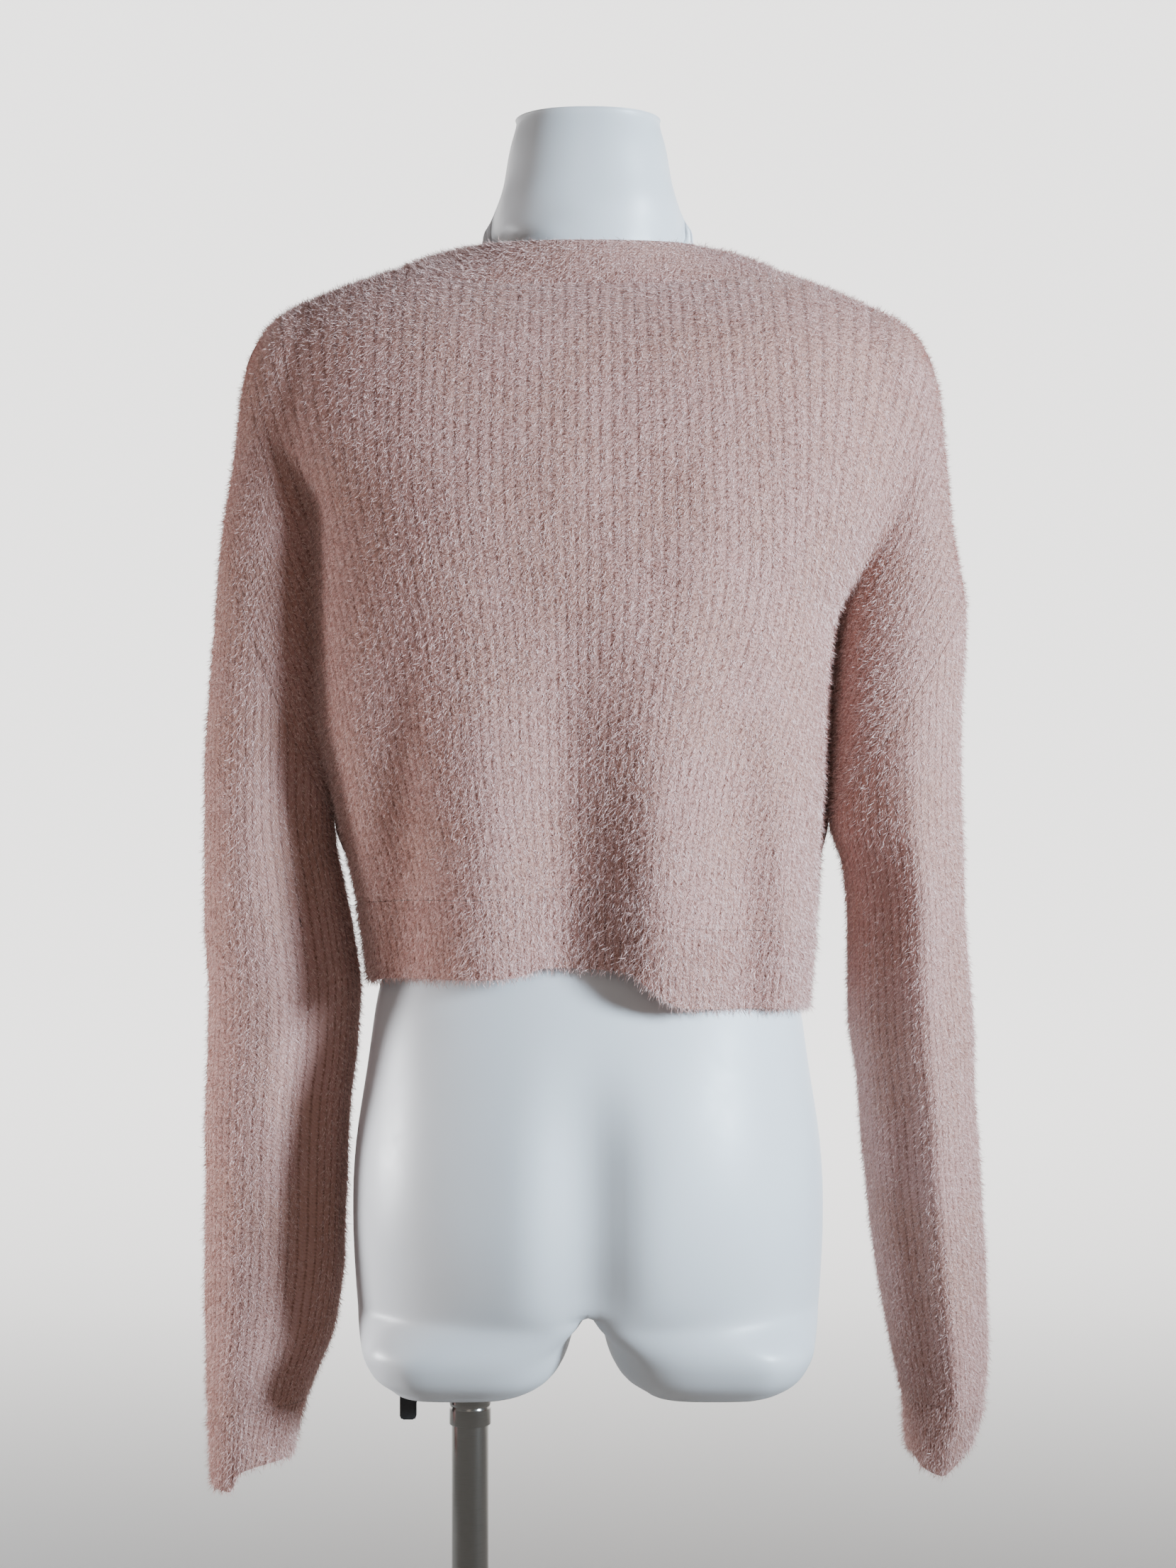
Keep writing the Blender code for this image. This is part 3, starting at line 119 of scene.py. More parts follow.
# Neckline and front opening
NECK_SEAM_HALF_WIDTH = 118.0
NECK_SEAM_BACK_HEIGHT = 1402.0
NECK_EDGE_HALF_WIDTH = 76.0
NECK_EDGE_BACK_DEPTH = 56.0
NECK_EDGE_BACK_HEIGHT = 1428.5
NECK_EDGE_SIDE_HEIGHT = 1434.0
BAND_WIDTH = 27.0
V_POINT_HEIGHT = 1190.0
BAND_LAP = WALL + 0.5
LAP_STARTS, LAP_FULL = 1275.0, 1222.0
NECK_SHARE = 30 / 72  # of the back's columns that lie along the neck seam
V_SHARE = 20 / 64  # of a front's columns that lie along the V
V_SLANT = 0.43  # how far the gap at the V's seam points up
BAND_ROLL = 1.2
NECKBAND_ROLL = 1.8
NECKBAND_TURN_IN = 1.2  # at its free edge
NECKBAND_TURN_SHARPNESS = 8
NECKBAND_LEAN = 0.6  # how far its outer side looks up
NECKBAND_SLANT = 0.7  # of its hairs
BAND_LEAN = 0.3
BAND_LINING_STEP, NECKBAND_LINING_STEP = 2, 4  # columns of the outside to one of the lining

# Hem and cuffs
HEM_BAND = 48.0
UNDERARM_HEIGHT = 1070.0
UNDERARM_SHARE = 0.84  # of a panel's rows that lie above the underarm
UNDERARM_BLEND = 30.0  # how soon the side seam leaves the armhole's line
HEM_SEAM_ABOUT = 1010.0  # where the search for the hem's seam at the side starts
HEM_SEARCH = 40.0  # and how much lower it starts at the band's edge

# How the surfaces are worked out
PANEL_STEPS = 240
SHOULDER_SAMPLES = 400
ARMHOLE_STEP = 0.02  # in radians
ARMHOLE_CROWDING = 0.8  # less than 1 sets a panel's rows closer at the underarm
ARMHOLE_COLUMNS = 9  # beside the seam, that turn their normals to the armhole's
SLEEVE_TOP_ROWS = 8  # that do the same
PULL_FROM = 0.86  # of the way out, where a panel is drawn to its seam's depth
EDGE_DEPTH = 20.0  # how deep the body is where creases reach their full depth
BODY_MIDDLE = np.array([60.0, 0.0, 1300.0])
PANEL_MIDDLE = (0.0, 0.0, 1150.0)
LEAN_ASIDE, LEAN_UP = 0.35, 0.25  # how a panel's outer side looks aside and up
WAY = {"back": 1, "front": -1}

# Buttons
BUTTONS = 5
BUTTON_DIAMETER = 18.0
BUTTON_THICKNESS = 3.2
BUTTON_DISH = 0.15  # height of the dish's rim, as a share of the thickness
BUTTON_ROUNDING = 0.9
BUTTON_SIDES, HOLE_SIDES = 48, 16
FIRST_BUTTON_HEIGHT = 1176.0
LAST_BUTTON_HEIGHT = 972.0

HOLE_DIAMETER = 1.9
HOLE_SPREAD = 2.1
THREAD_DIAMETER = 0.9
THREAD_RISE, THREAD_DIVE = 0.75, 0.5  # over the button's middle, and into its holes
THREAD_SIDES = THREAD_STEPS = 8
DRILL_DEPTH = 8.0
BUTTON_LIFT = 0.25

# Stand
POLE_X, POLE_Y = 75.0, 4.0
POLE_DIAMETER = 23.5
COLLAR_DIAMETER = 26.5
COLLAR_HEIGHT = 24.0
BASE_DIAMETER = 340.0
BASE_THICKNESS = 8.0
FLANGE_DIAMETER = 52.0
FLANGE_HEIGHT = 14.0
FORM_FOOT_HEIGHT = 709.5
STAND_SIDES, BASE_SIDES = 64, 128

# Lever, in millimetres from its root outwards and from the form's foot down
LEVER_LENGTH = 31.0
LEVER_WIDTH = 7.0
LEVER_ARM_TOP, LEVER_ARM_FOOT, LEVER_TAB_FOOT = 1.0, 8.0, 21.0
LEVER_TAB = 10.5
LEVER_CORNER = 1.5
LEVER_EDGE = 0.7

# Lights: where each stands, where it points, its size and its spread in degrees
CHEST = (0.0, 0.0, 1.15)
LIGHTS = {
    "key": ((-2.15, 1.5, 1.6), CHEST, 0.7, 42),
    "side": ((1.9, -0.22, 0.9), (0.2, 0.0, 0.88), 0.4, 46),
    "fill": ((0.3, 3.2, 2.2), CHEST, 1.6, 60),
}
AIR_COLOUR = (1.0, 0.85, 0.75, 1.0)
FLOOR_SIDES, FLOOR_RINGS, RIM_RINGS = 96, 4, 16
FLOOR_RADIUS, RIM_RISE = 4.0, 5.0
GLOW_FROM, GLOW_TO = -1.0, -6.0  # between these the floor's light grows to the backdrop's
FLOOR_DROP = 0.0005  # keeps the floor clear of the base

# Camera, at the height of the picture's middle and square on to the back
CAMERA_DISTANCE = 1.7
CAMERA_HEIGHT = 1.092
SENSOR = 36.0
LENS = 61.2
VIEW_REACH = 60.0

SIDES = ((1, "left"), (-1, "right"))


# The cut of each knitted piece in metres and square metres, how it is held, and how thickly it is
# brushed beside a panel. A piece's name here is its solid's name.
CLOTH = {
    name: dict(zip("width length area held coats hairs hair_length rests_on".split(), row))
    for name, *row in (
        ("back", 0.66, 0.45, 0.218, "draped", 2, 1.0, 1.0, ["dress_form"]),
        ("neckband", 0.28, 0.05, 0.0096, "draped", 1, 2.4, 1.0, ["dress_form"]),
        ("hem_back", 0.47, 0.048, 0.0212, "hung", 1, 2.1, 1.35, []),
        ("front_left", 0.30, 0.40, 0.0924, "draped", 1, 0.5, 1.0, ["dress_form"]),
        ("front_right", 0.30, 0.40, 0.102, "draped", 1, 0.5, 1.0, ["dress_form"]),
        ("hem_front_left", 0.23, 0.048, 0.010, "hung", 1, 0.8, 1.1, []),
        ("hem_front_right", 0.23, 0.048, 0.010, "hung", 1, 0.8, 1.1, []),
        ("front_band_left", 0.63, 0.03, 0.0188, "draped", 1, 0.8, 0.8, ["dress_form"]),
        ("front_band_right", 0.63, 0.03, 0.0188, "draped", 1, 0.8, 0.8, ["dress_form"]),
        ("sleeve_left", 0.30, 0.5, 0.122, "hung", 1, 1.35, 1.0, []),
        ("sleeve_right", 0.30, 0.5, 0.113, "hung", 1, 1.35, 1.0, []),
        ("cuff_left", 0.2, 0.042, 0.0078, "hung", 1, 1.8, 1.3, []),
        ("cuff_right", 0.2, 0.042, 0.0071, "hung", 1, 1.8, 1.3, []),
    )
}

# Soft creases: the place across the foot and the top (millimetres on the back, degrees round a
# sleeve), how far each stands out at its foot, half its width, and the heights of its foot and top.
CREASE_COLUMNS = "at_foot at_top depth width foot top"


def creases(*rows):
    return [dict(zip(CREASE_COLUMNS.split(), row)) for row in rows]


BACK_CREASES = creases(
    (142, 140, 4.6, 14, 1000, 1230),
    (112, 106, -5.8, 15, 990, 1240),
    (66, 68, 4.0, 18, 980, 1260),
    (16, 12, -5.2, 20, 980, 1280),
    (-38, -36, 5.2, 18, 980, 1260),
    (-96, -92, -5.2, 16, 980, 1240),
    (-122, -124, 4.2, 12, 980, 1200),
    (96, 84, 1.5, 16, 1180, 1330),
    (-62, -70, 1.6, 20, 1170, 1330),
)
SLEEVE_CREASES = {
    1: creases(
        (90, 92, 3.0, 11, 700, 1240),
        (122, 122, -6.0, 17, 700, 1230),
        (150, 150, 2.0, 14, 720, 1100),
    ),
    -1: creases(
        (84, 86, 2.5, 12, 700, 1200),
        (112, 110, -3.5, 15, 700, 1150),
        (40, 44, -2.0, 14, 760, 1100),
    ),
}


def table(names, *rows):
    """Columns by name, from rows that start with a height."""
    data = np.array(sorted(rows), float)
    return dict(zip(names.split(), data.T))


# The body's outer surface: half widths to the wearer's left and right, and depths behind and in
# front of the seams' plane.
BODY = table(
    "height left right back front",
    (1440, 214, 214, 52, 40),
    (1400, 212, 212, 68, 58),
    (1360, 210, 212, 86, 88),
    (1320, 206, 211, 98, 108),
    (1290, 194, 208, 103, 118),
    (1260, 179, 197, 106, 124),
    (1225, 177, 175, 107, 126),
    (1190, 176, 158, 107, 125),
    (1140, 174, 153, 106, 119),
    (1090, 164, 151, 104, 113),
    (1060, 157, 149, 102, 109),
    (1010, 146, 146, 99, 105),
    (960, 139, 141, 97, 101),
)
BODY_SQUARENESS = 3.1
ARM_BLEND = 24.0  # over how much depth the torso and the hanging arm flow into each other
SHOULDER_ROUNDING = 100.0  # how far down the shoulder's rounding reaches at the neck
SHOULDER_ROUNDING_END = 30.0  # and at the sleeve
SHOULDER_END = 221.0
BUST = {"x": 78, "half_width": 42, "height": 1215, "half_height": 62, "depth": 7.0}

# The shoulder line, from the neck over the shoulder's end and down to the sleeve's top seam.
LEFT_SHOULDER = table(
    "x height",
    (0, 1452),
    (75, 1433),
    (118, 1421.5),
    (183, 1397.6),
    (206, 1381),
    (218, 1361),
    (222.5, 1325),
    (227.5, 1289),
    (232.5, 1257),
)
RIGHT_SHOULDER = table(
    "x height",
    (0, 1452),
    (75, 1433),
    (118, 1420.5),
    (177, 1397.6),
    (208, 1379.5),
    (220, 1361),
    (226, 1325),
    (230.5, 1271),
    (236, 1232),
    (241.5, 1204),
)
SHOULDER = {1: LEFT_SHOULDER, -1: RIGHT_SHOULDER}

# The hanging sleeves, each an oval tube: its inner and outer sides, half its depth, and how far its
# middle lies behind the seams' plane.
LEFT_SLEEVE = table(
    "height inner outer half_depth middle",
    (1380, 172, 208, 46, 0),
    (1340, 170, 221, 46, 0),
    (1300, 167, 225.5, 45, 0),
    (1257, 165, 232.5, 43, 0),
    (1200, 164, 238, 42, 0),
    (1130, 163, 243, 41, 0),
    (1070, 162, 244.8, 40, 0),
    (1030, 155, 245.2, 40, -2),
    (1000, 149.5, 244.5, 41, -4),
    (960, 144.5, 243.2, 41, -6),
    (925, 146, 243.5, 40, -8),
    (890, 151, 244.5, 39, -9),
    (855, 153, 245.3, 38, -10),
    (800, 154.5, 245.8, 36, -10),
    (750, 161, 245.8, 33, -10),
    (710, 175, 245.4, 31, -9),
    (685, 184, 243.5, 29, -8),
    (645, 192, 241, 29, -7),
)
RIGHT_SLEEVE = table(
    "height inner outer half_depth middle",
    (1380, 172, 210, 46, 0),
    (1340, 170, 224, 46, 0),
    (1300, 167, 228, 46, 0),
    (1257, 163, 232.5, 45, 0),
    (1204, 160, 241.5, 45, 0),
    (1130, 156, 238, 45, 0),
    (1070, 154, 238.3, 46, 0),
    (1036, 162, 239.2, 47, -2),
    (1000, 165.5, 241, 47, -4),
    (945, 166, 245.5, 46, -6),
    (891, 173, 248.3, 45, -8),
    (837, 177, 251, 43, -8),
    (780, 185, 255, 40, -8),
    (730, 194, 256, 37, -8),
    (700, 200.5, 254, 34, -8),
    (675, 203, 247, 31, -8),
    (645, 206, 238, 29, -8),
)
SLEEVE = {1: LEFT_SLEEVE, -1: RIGHT_SLEEVE}
SLEEVE_KEYS = ("inner", "outer", "half_depth", "middle")

# Heights of each cuff's seam, and of its lower edge at shares of the way from outside to inside.
CUFF_SEAM = {1: {"outer": 690.0, "inner": 699.0}, -1: {"outer": 700.0, "inner": 700.0}}
CUFF_EDGE = {
    1: ((0.0, 645), (0.28, 645), (0.42, 657), (0.65, 661), (1.0, 664)),
    -1: ((0.0, 672), (0.2, 664), (0.5, 656), (0.8, 659), (1.0, 668)),
}

# The sleeves' long folds: where round the sleeve in degrees, half the width, and the share of the
# depth by which each stands out or in. They fade out towards both ends.
SLEEVE_FOLDS = {
    1: ((118, 26, -0.30), (62, 22, 0.10), (250, 26, -0.16)),
    -1: ((80, 20, 0.13), (125, 24, -0.12), (285, 26, -0.14)),
}
SLEEVE_FOLDS_TOP, SLEEVE_FOLDS_TOP_FADE = 1180, 160
SLEEVE_FOLDS_FOOT, SLEEVE_FOLDS_FOOT_FADE = 640, 60

# The hem's lower edge, across from the wearer's right to left.
BACK_HEM = table(
    "x height",
    (-160, 951),
    (-120, 953.5),
    (-60, 957),
    (-38, 968),
    (-22, 979),
    (24, 980.5),
    (45, 975),
    (110, 972.5),
    (160, 968),
)
FRONT_HEM = table(
    "x height",
    (-160, 951),
    (-90, 955),
    (0, 958),
    (90, 962),
    (160, 968),
)

HEM = {"back": BACK_HEM, "front": FRONT_HEM}

# The large upright folds, in the columns of the creases.
FOLDS = {
    "back": creases(
        (118, 122, -8.0, 30, 970, 1225),
        (59, 66, 6.5, 30, 970, 1240),
        (6, 8, -9.0, 34, 970, 1260),
        (-44, -40, 7.5, 28, 970, 1240),
        (-98, -90, -7.0, 24, 970, 1215),
    ),
    "front": creases(
        (104, 90, -8.0, 32, 970, 1180),
        (56, 62, 5.5, 30, 970, 1200),
        (-52, -64, 6.0, 30, 970, 1200),
        (-94, -86, -7.0, 28, 970, 1180),
        (-134, -140, 7.0, 24, 970, 1100),
    ),
}
FOLDS_SPREAD = 1.6  # how far towards the sides the folds keep their depth

# Curves and lookups


def smooth_curve(keys, values, at):
    """A curve through the given points that never overshoots them (monotone cubic)."""
    keys = np.asarray(keys, float)
    values = np.asarray(values, float)
    at = np.clip(at, keys[0], keys[-1])
    step = np.diff(keys)
    slope = np.diff(values) / step
    tangent = np.empty_like(values)
    tangent[0], tangent[-1] = slope[0], slope[-1]
    before, after = slope[:-1], slope[1:]
    same_way = before * after > 0
    mean = np.where(same_way, 2 * before * after / np.where(same_way, before + after, 1), 0)
    tangent[1:-1] = mean
    i = np.clip(np.searchsorted(keys, at, side="right") - 1, 0, len(step) - 1)
    t = (at - keys[i]) / step[i]
    return (
        values[i] * (1 + 2 * t) * (1 - t) ** 2
        + values[i + 1] * t * t * (3 - 2 * t)
        + step[i] * tangent[i] * t * (1 - t) ** 2
        - step[i] * tangent[i + 1] * t * t * (1 - t)
    )


def look_up(rows, name, height):
    return smooth_curve(rows["height"], rows[name], height)


def across(rows, x):
    return smooth_curve(rows["x"], rows["height"], x)


def smooth_step(t):
    t = np.clip(t, 0.0, 1.0)
    return t * t * (3 - 2 * t)


def unit(vectors):
    vectors = np.asarray(vectors, float)
    length = np.linalg.norm(vectors, axis=-1, keepdims=True)
    return vectors / np.maximum(length, 1e-9)


def even_stations(points, count):
    """Where count + 1 points spaced evenly along a polyline lie on it, from 0 to 1."""
    steps = np.linalg.norm(np.diff(points, axis=0), axis=1)
    along = np.concatenate([[0], np.cumsum(steps)])
    wanted = np.linspace(0, along[-1], count + 1)
    return np.interp(wanted, along, np.linspace(0, 1, len(points)))


def placed_on(path, keys, at):
    """The points of a path, given at its keys, at other places."""
    return np.stack([np.interp(at, keys, column) for column in path.T], axis=-1)


# The surface that the body's panels follow


def side_width(side, z):
    return look_up(BODY, "left" if side > 0 else "right", z)


def crease(x, z, rows):
    """Upright creases from the tables: depth is how far each stands out at its foot."""
    total = np.zeros(np.broadcast(x, z).shape)
    for row in rows:
        tall = row["top"] - row["foot"]
        fade = smooth_step((row["top"] - z) / tall)
        lean = np.clip((z - row["foot"]) / tall, 0, 1)
        middle = row["at_foot"] + (row["at_top"] - row["at_foot"]) * lean
        total = total + row["depth"] * fade * np.exp(-(((x - middle) / row["width"]) ** 2))
    return total


def body_depth(x, z, side, face):
    """How far the cloth lies behind (face 'back') or before (face 'front') the seams' plane."""
    x = np.asarray(x, float)
    reach = np.clip(x / side_width(side, z), 0, 1)
    oval = np.sqrt(np.clip(1 - reach**BODY_SQUARENESS, 0, 1))
    torso = look_up(BODY, face, z) * oval
    torso = torso + crease(side * x, z, FOLDS[face]) * np.clip(oval * FOLDS_SPREAD, 0, 1)
    if face == "front":
        bust = np.exp(-(((x - BUST["x"]) / BUST["half_width"]) ** 2))
        bust = bust * np.exp(-(((z - BUST["height"]) / BUST["half_height"]) ** 2))
        torso = torso + BUST["depth"] * bust * oval
    inner, outer, half_depth = (look_up(SLEEVE[side], key, z) for key in ("inner", "outer", "half_depth"))
    reach = (x - (inner + outer) / 2) / ((outer - inner) / 2)
    arm = half_depth * np.sqrt(np.clip(1 - reach**2, 0, 1))
    arm = np.where(z > UNDERARM_HEIGHT - 1, arm, 0)
    near = np.clip(ARM_BLEND - np.abs(torso - arm), 0, None) / ARM_BLEND
    depth = np.maximum(torso, arm) + near * near * ARM_BLEND / 4 * (arm > 0) * (torso > 0)
    below = across(SHOULDER[side], x) - z
    outwards = np.clip(x / SHOULDER_END, 0, 1)
    rounding = SHOULDER_ROUNDING + (SHOULDER_ROUNDING_END - SHOULDER_ROUNDING) * outwards
    cap = 1 - np.clip(below / rounding, 0, 1)
    return depth * np.sqrt(np.clip(1 - cap * cap, 0, 1))


def inwards(angle):
    """0 at a sleeve's outer side, 1 at its inner side."""
    return (1 - np.cos(angle)) / 2


def sleeve_fold(angle, z, side):
    """Long folds of the empty sleeves, as a share of the depth."""
    fade = smooth_step((SLEEVE_FOLDS_TOP - z) / SLEEVE_FOLDS_TOP_FADE)
    fade = fade * smooth_step((z - SLEEVE_FOLDS_FOOT) / SLEEVE_FOLDS_FOOT_FADE)
    turn = np.degrees(np.mod(angle, 2 * np.pi))
    folds = SLEEVE_FOLDS[side]
    return fade * sum(share * np.exp(-(((turn - at) / width) ** 2)) for at, width, share in folds)


def round_sleeve(angle, z, side):
    """A point of a sleeve's or cuff's outer surface at a height."""
    inner, outer, half_depth, middle = (look_up(SLEEVE[side], key, z) for key in SLEEVE_KEYS)
    x = outer + (inner - outer) * inwards(angle)
    depth = half_depth * np.sin(angle) * (1 + sleeve_fold(angle, z, side))
    return np.stack([side * x, middle + depth, z], axis=-1)


def sleeve_point(angle, along, side):
    """A point of a sleeve's outer surface. angle is 0 outside, 90 degrees behind, 180 inside."""
    top, cuff = SHOULDER[side]["height"][-1], CUFF_SEAM[side]
    z_outer = top + (cuff["outer"] - top) * along
    z_inner = UNDERARM_HEIGHT + (cuff["inner"] - UNDERARM_HEIGHT) * along
    return round_sleeve(angle, z_outer + (z_inner - z_outer) * inwards(angle), side)


# The armhole seam, which the body and the sleeve share


def armhole(side, angles):
    """Points, outward normals and the way into the body on an armhole. angles run 0 to 2 pi."""
    turns = (0, ARMHOLE_STEP, -ARMHOLE_STEP)
    points, after, before = (sleeve_point(angles + turn, 0.0, side) for turn in turns)
    cosine, sine = np.cos(angles), np.sin(angles)
    normal = np.stack([side * np.clip(cosine, 0, None), sine, -np.clip(-cosine, 0, None)], axis=-1)
    ahead = unit(after - before)
    normal = unit(normal - ahead * (normal * ahead).sum(-1, keepdims=True))
    into_body = unit(np.cross(ahead, normal))
    towards = BODY_MIDDLE * [side, 1, 1] - points
    return points, normal, into_body * np.sign((into_body * towards).sum(-1, keepdims=True))


# Panels as grids of points: rows run from the top seam down, columns outwards


def neck_seam_height(x, side):
    rise = across(SHOULDER[side], NECK_SEAM_HALF_WIDTH) - NECK_SEAM_BACK_HEIGHT
    return NECK_SEAM_BACK_HEIGHT + rise * (x / NECK_SEAM_HALF_WIDTH) ** 4


def shoulder_path(side, count):
    """Points (x, z) spaced evenly from the neck seam along the shoulder line to its end."""
    x = np.linspace(NECK_SEAM_HALF_WIDTH, SHOULDER[side]["x"][-1], SHOULDER_SAMPLES)
    path = np.stack([x, across(SHOULDER[side], x)], axis=-1)
    share = even_stations(path, count) * (SHOULDER_SAMPLES - 1)
    return placed_on(path, np.arange(SHOULDER_SAMPLES), share)


def back_top(side, columns):
    """The back's top row (x, z): the neck seam, then the shoulder line."""
    neck_columns = round(columns * NECK_SHARE)
    x = NECK_SEAM_HALF_WIDTH * np.linspace(0, 1, neck_columns + 1)
    neck = np.stack([x, neck_seam_height(x, side)], axis=-1)
    return np.concatenate([neck, shoulder_path(side, columns - neck_columns)[1:]]), neck_columns


def front_top(side, columns):
    """A front's top row (x, z): the edge of the V, then the shoulder line."""
    v_columns = round(columns * V_SHARE)
    low = np.array([BAND_WIDTH / 2, V_POINT_HEIGHT])
    high = np.array([NECK_SEAM_HALF_WIDTH, across(SHOULDER[side], NECK_SEAM_HALF_WIDTH)])
    edge = low + (high - low) * np.linspace(0, 1, v_columns + 1)[:, None]
    return np.concatenate([edge, shoulder_path(side, columns - v_columns)[1:]]), v_columns


def hem_seam_height(x, face):
    return across(HEM[face], x) + HEM_BAND


def steadied(rows, passes):
    """The rows with each one drawn towards its neighbours; the first and last stay."""
    for _ in range(passes):
        rows[1:-1] = (rows[:-2] + 2 * rows[1:-1] + rows[2:]) / 4
    return rows


def slack(x, z, seed):
    """Small uneven swells of soft knit, in millimetres."""
    (x1, z1), (x2, z2) = SWELL_WAVES
    first = np.sin(x / x1 + z / z1 + seed) * np.sin(z / z2 - x / x2 + 2 * seed)
    (x1, z1), (x2, z2) = FINE_WAVES
    second = np.sin(x / x1 - z / z1 + 3 * seed) * np.sin(z / z2 + x / x2)
    return SWELL * first + FINE_SWELL * second


def panel_grid(side, face, top, first_x, columns):
    """One half panel's outer surface without ribs, as rows of points from first_x outwards."""
    sign = WAY[face]
    stations = np.linspace(0, 1, PANEL_ROWS + 1)
    turn = np.clip(stations / UNDERARM_SHARE, 0, 1) ** ARMHOLE_CROWDING * math.pi
    ring, ring_normals, into_body = armhole(side, turn if sign > 0 else 2 * math.pi - turn)
    edge = np.stack([np.abs(ring[:, 0]), ring[:, 2]], axis=-1)
    below = stations > UNDERARM_SHARE
    start = sleeve_point(math.pi, 0.0, side)
    low = hem_seam_height(side * side_width(side, HEM_SEAM_ABOUT), face)
    z = start[2] + (low - start[2]) * (stations[below] - UNDERARM_SHARE) / (1 - UNDERARM_SHARE)
    blend = smooth_step((start[2] - z) / UNDERARM_BLEND)
    edge[below] = np.stack([abs(start[0]) * (1 - blend) + side_width(side, z) * blend, z], axis=-1)
    edge_depth = np.where(below, 0, np.abs(ring[:, 1]))

    fine = np.linspace(0, 1, PANEL_STEPS + 1)
    hem_x = first_x + (edge[-1, 0] - first_x) * fine
    hem_row = np.stack([hem_x, hem_seam_height(side * hem_x, face)], axis=-1)
    depth = body_depth(*hem_row.T, side, face)
    hem_row = placed_on(hem_row, fine, even_stations(np.column_stack([hem_row, depth]), PANEL_STEPS))
    top_row = placed_on(top, np.linspace(0, 1, len(top)), fine)
    pull = smooth_step((fine - PULL_FROM) / (1 - PULL_FROM))
    as_top = np.linspace(0, 1, columns + 1)
    along = fine[:, None]
    surface, shares = [], []
    for t, outermost, outer_depth in zip(stations, edge, edge_depth):
        left = np.array([first_x, top[0, 1] + (hem_row[0, 1] - top[0, 1]) * t])
        near = (1 - t) * top_row[0] + t * hem_row[0]
        far = (1 - t) * top_row[-1] + t * hem_row[-1]
        plan = (1 - t) * top_row + t * hem_row + (1 - along) * (left - near) + along * (outermost - far)
        x, z = plan.T
        depth = body_depth(x, z, side, face)
        depth = depth + (outer_depth - depth[-1]) * pull
        inside = np.sin(math.pi * t) * np.sin(math.pi * (fine * 0.5 + 0.5)) ** 0.5
        soft = slack(side * x, z, 1.0 + sign) * inside
        if face == "back":
            soft = soft + crease(side * x, z, BACK_CREASES) * (1 - pull)
        row = np.stack([x, depth + soft * np.clip(depth / EDGE_DEPTH, 0, 1), z], axis=-1)
        mix = smooth_step(t * RIBS_EVEN_OUT)
        surface.append(row)
        shares.append(even_stations(row, columns) * mix + as_top * (1 - mix))
    shares = steadied(np.array(shares), RIB_STEADYING)
    grid = np.array([placed_on(row, fine, share) for row, share in zip(surface, shares)])
    return grid * np.array([side, sign, 1]), ring_normals, into_body, below


def grid_normals(grid, outwards):
    """Normals of a grid of points, turned to the side that outwards points to for most of it."""
    normal = unit(np.cross(np.gradient(grid, axis=0), np.gradient(grid, axis=1)))
    return normal * np.sign((normal * outwards).sum())


def edge_normals(path):
    """Normals in the seams' plane of an edge path, pointing away from the body."""
    along = np.gradient(path * np.array([1, 0, 1]), axis=0)
    normal = unit(np.stack([-along[:, 2], np.zeros(len(path)), along[:, 0]], axis=-1))
    return normal * np.sign((normal * (path - PANEL_MIDDLE)).sum(-1, keepdims=True))


def tube_normals(base):
    """Outward normals of a grid whose last column lies on its first."""
    round_ = np.empty_like(base)
    round_[:, 1:-1] = base[:, 2:] - base[:, :-2]
    round_[:, 0] = round_[:, -1] = base[:, 1] - base[:, -2]
    normal = unit(np.cross(round_, np.gradient(base, axis=0)))
    middle = base.mean(axis=1, keepdims=True)
    return normal * np.sign((normal * (base - middle)).sum())


def seam_dip(grid, normals, edges):
    """Draws the cloth in along the named edges, as a seam does."""
    steps_down = np.linalg.norm(np.diff(grid, axis=0), axis=-1)
    steps_out = np.linalg.norm(np.diff(grid, axis=1), axis=-1)
    down = np.concatenate([np.zeros((1, grid.shape[1])), np.cumsum(steps_down, axis=0)])
    out = np.concatenate([np.zeros((grid.shape[0], 1)), np.cumsum(steps_out, axis=1)], axis=1)
    distance = {"top": down, "bottom": down[-1:] - down, "last": out[:, -1:] - out}
    dip = np.zeros(grid.shape[:2])
    for edge in edges:
        dip = np.maximum(dip, np.exp(-((distance[edge] / SEAM_DIP_REACH) ** 2)))
    return grid - normals * (dip * SEAM_DIP)[..., None]


def ribbed(grid, normals, edges, columns_a_rib, height):
    """The outer side with its seams drawn in and its ribs raised, under the fuzz's outline."""
    share = np.arange(grid.shape[1]) / columns_a_rib
    lift = height * (0.5 - 0.5 * np.cos(2 * math.pi * share)) ** RIB_ROUNDNESS - FUZZ
    return seam_dip(grid, normals, edges) + normals * lift[None, :, None]


def across_middle(halves):
    """Outer and inner grids from one side to the other, from those of both halves."""
    return (np.concatenate([halves[-1][k][:, ::-1], halves[1][k][:, 1:]], axis=1) for k in (0, 1))


# Making closed walls


def picks(columns, step):
    """Columns that the plain inside uses, with both ends."""
    return np.array(list(range(0, columns, step)) + [columns])


def strip_faces(first, second):
    """Triangles between two chains of vertex numbers whose ends match and whose counts differ."""
    faces = []
    i = j = 0
    while i < len(first) - 1 or j < len(second) - 1:
        share_i = (i + 1) / (len(first) - 1) if i < len(first) - 1 else PAST_END
        share_j = (j + 1) / (len(second) - 1) if j < len(second) - 1 else PAST_END
        if share_i <= share_j:
            faces.append((first[i], first[i + 1], second[j]))
            i += 1
        else:
            faces.append((first[i], second[j + 1], second[j]))
            j += 1
    return faces


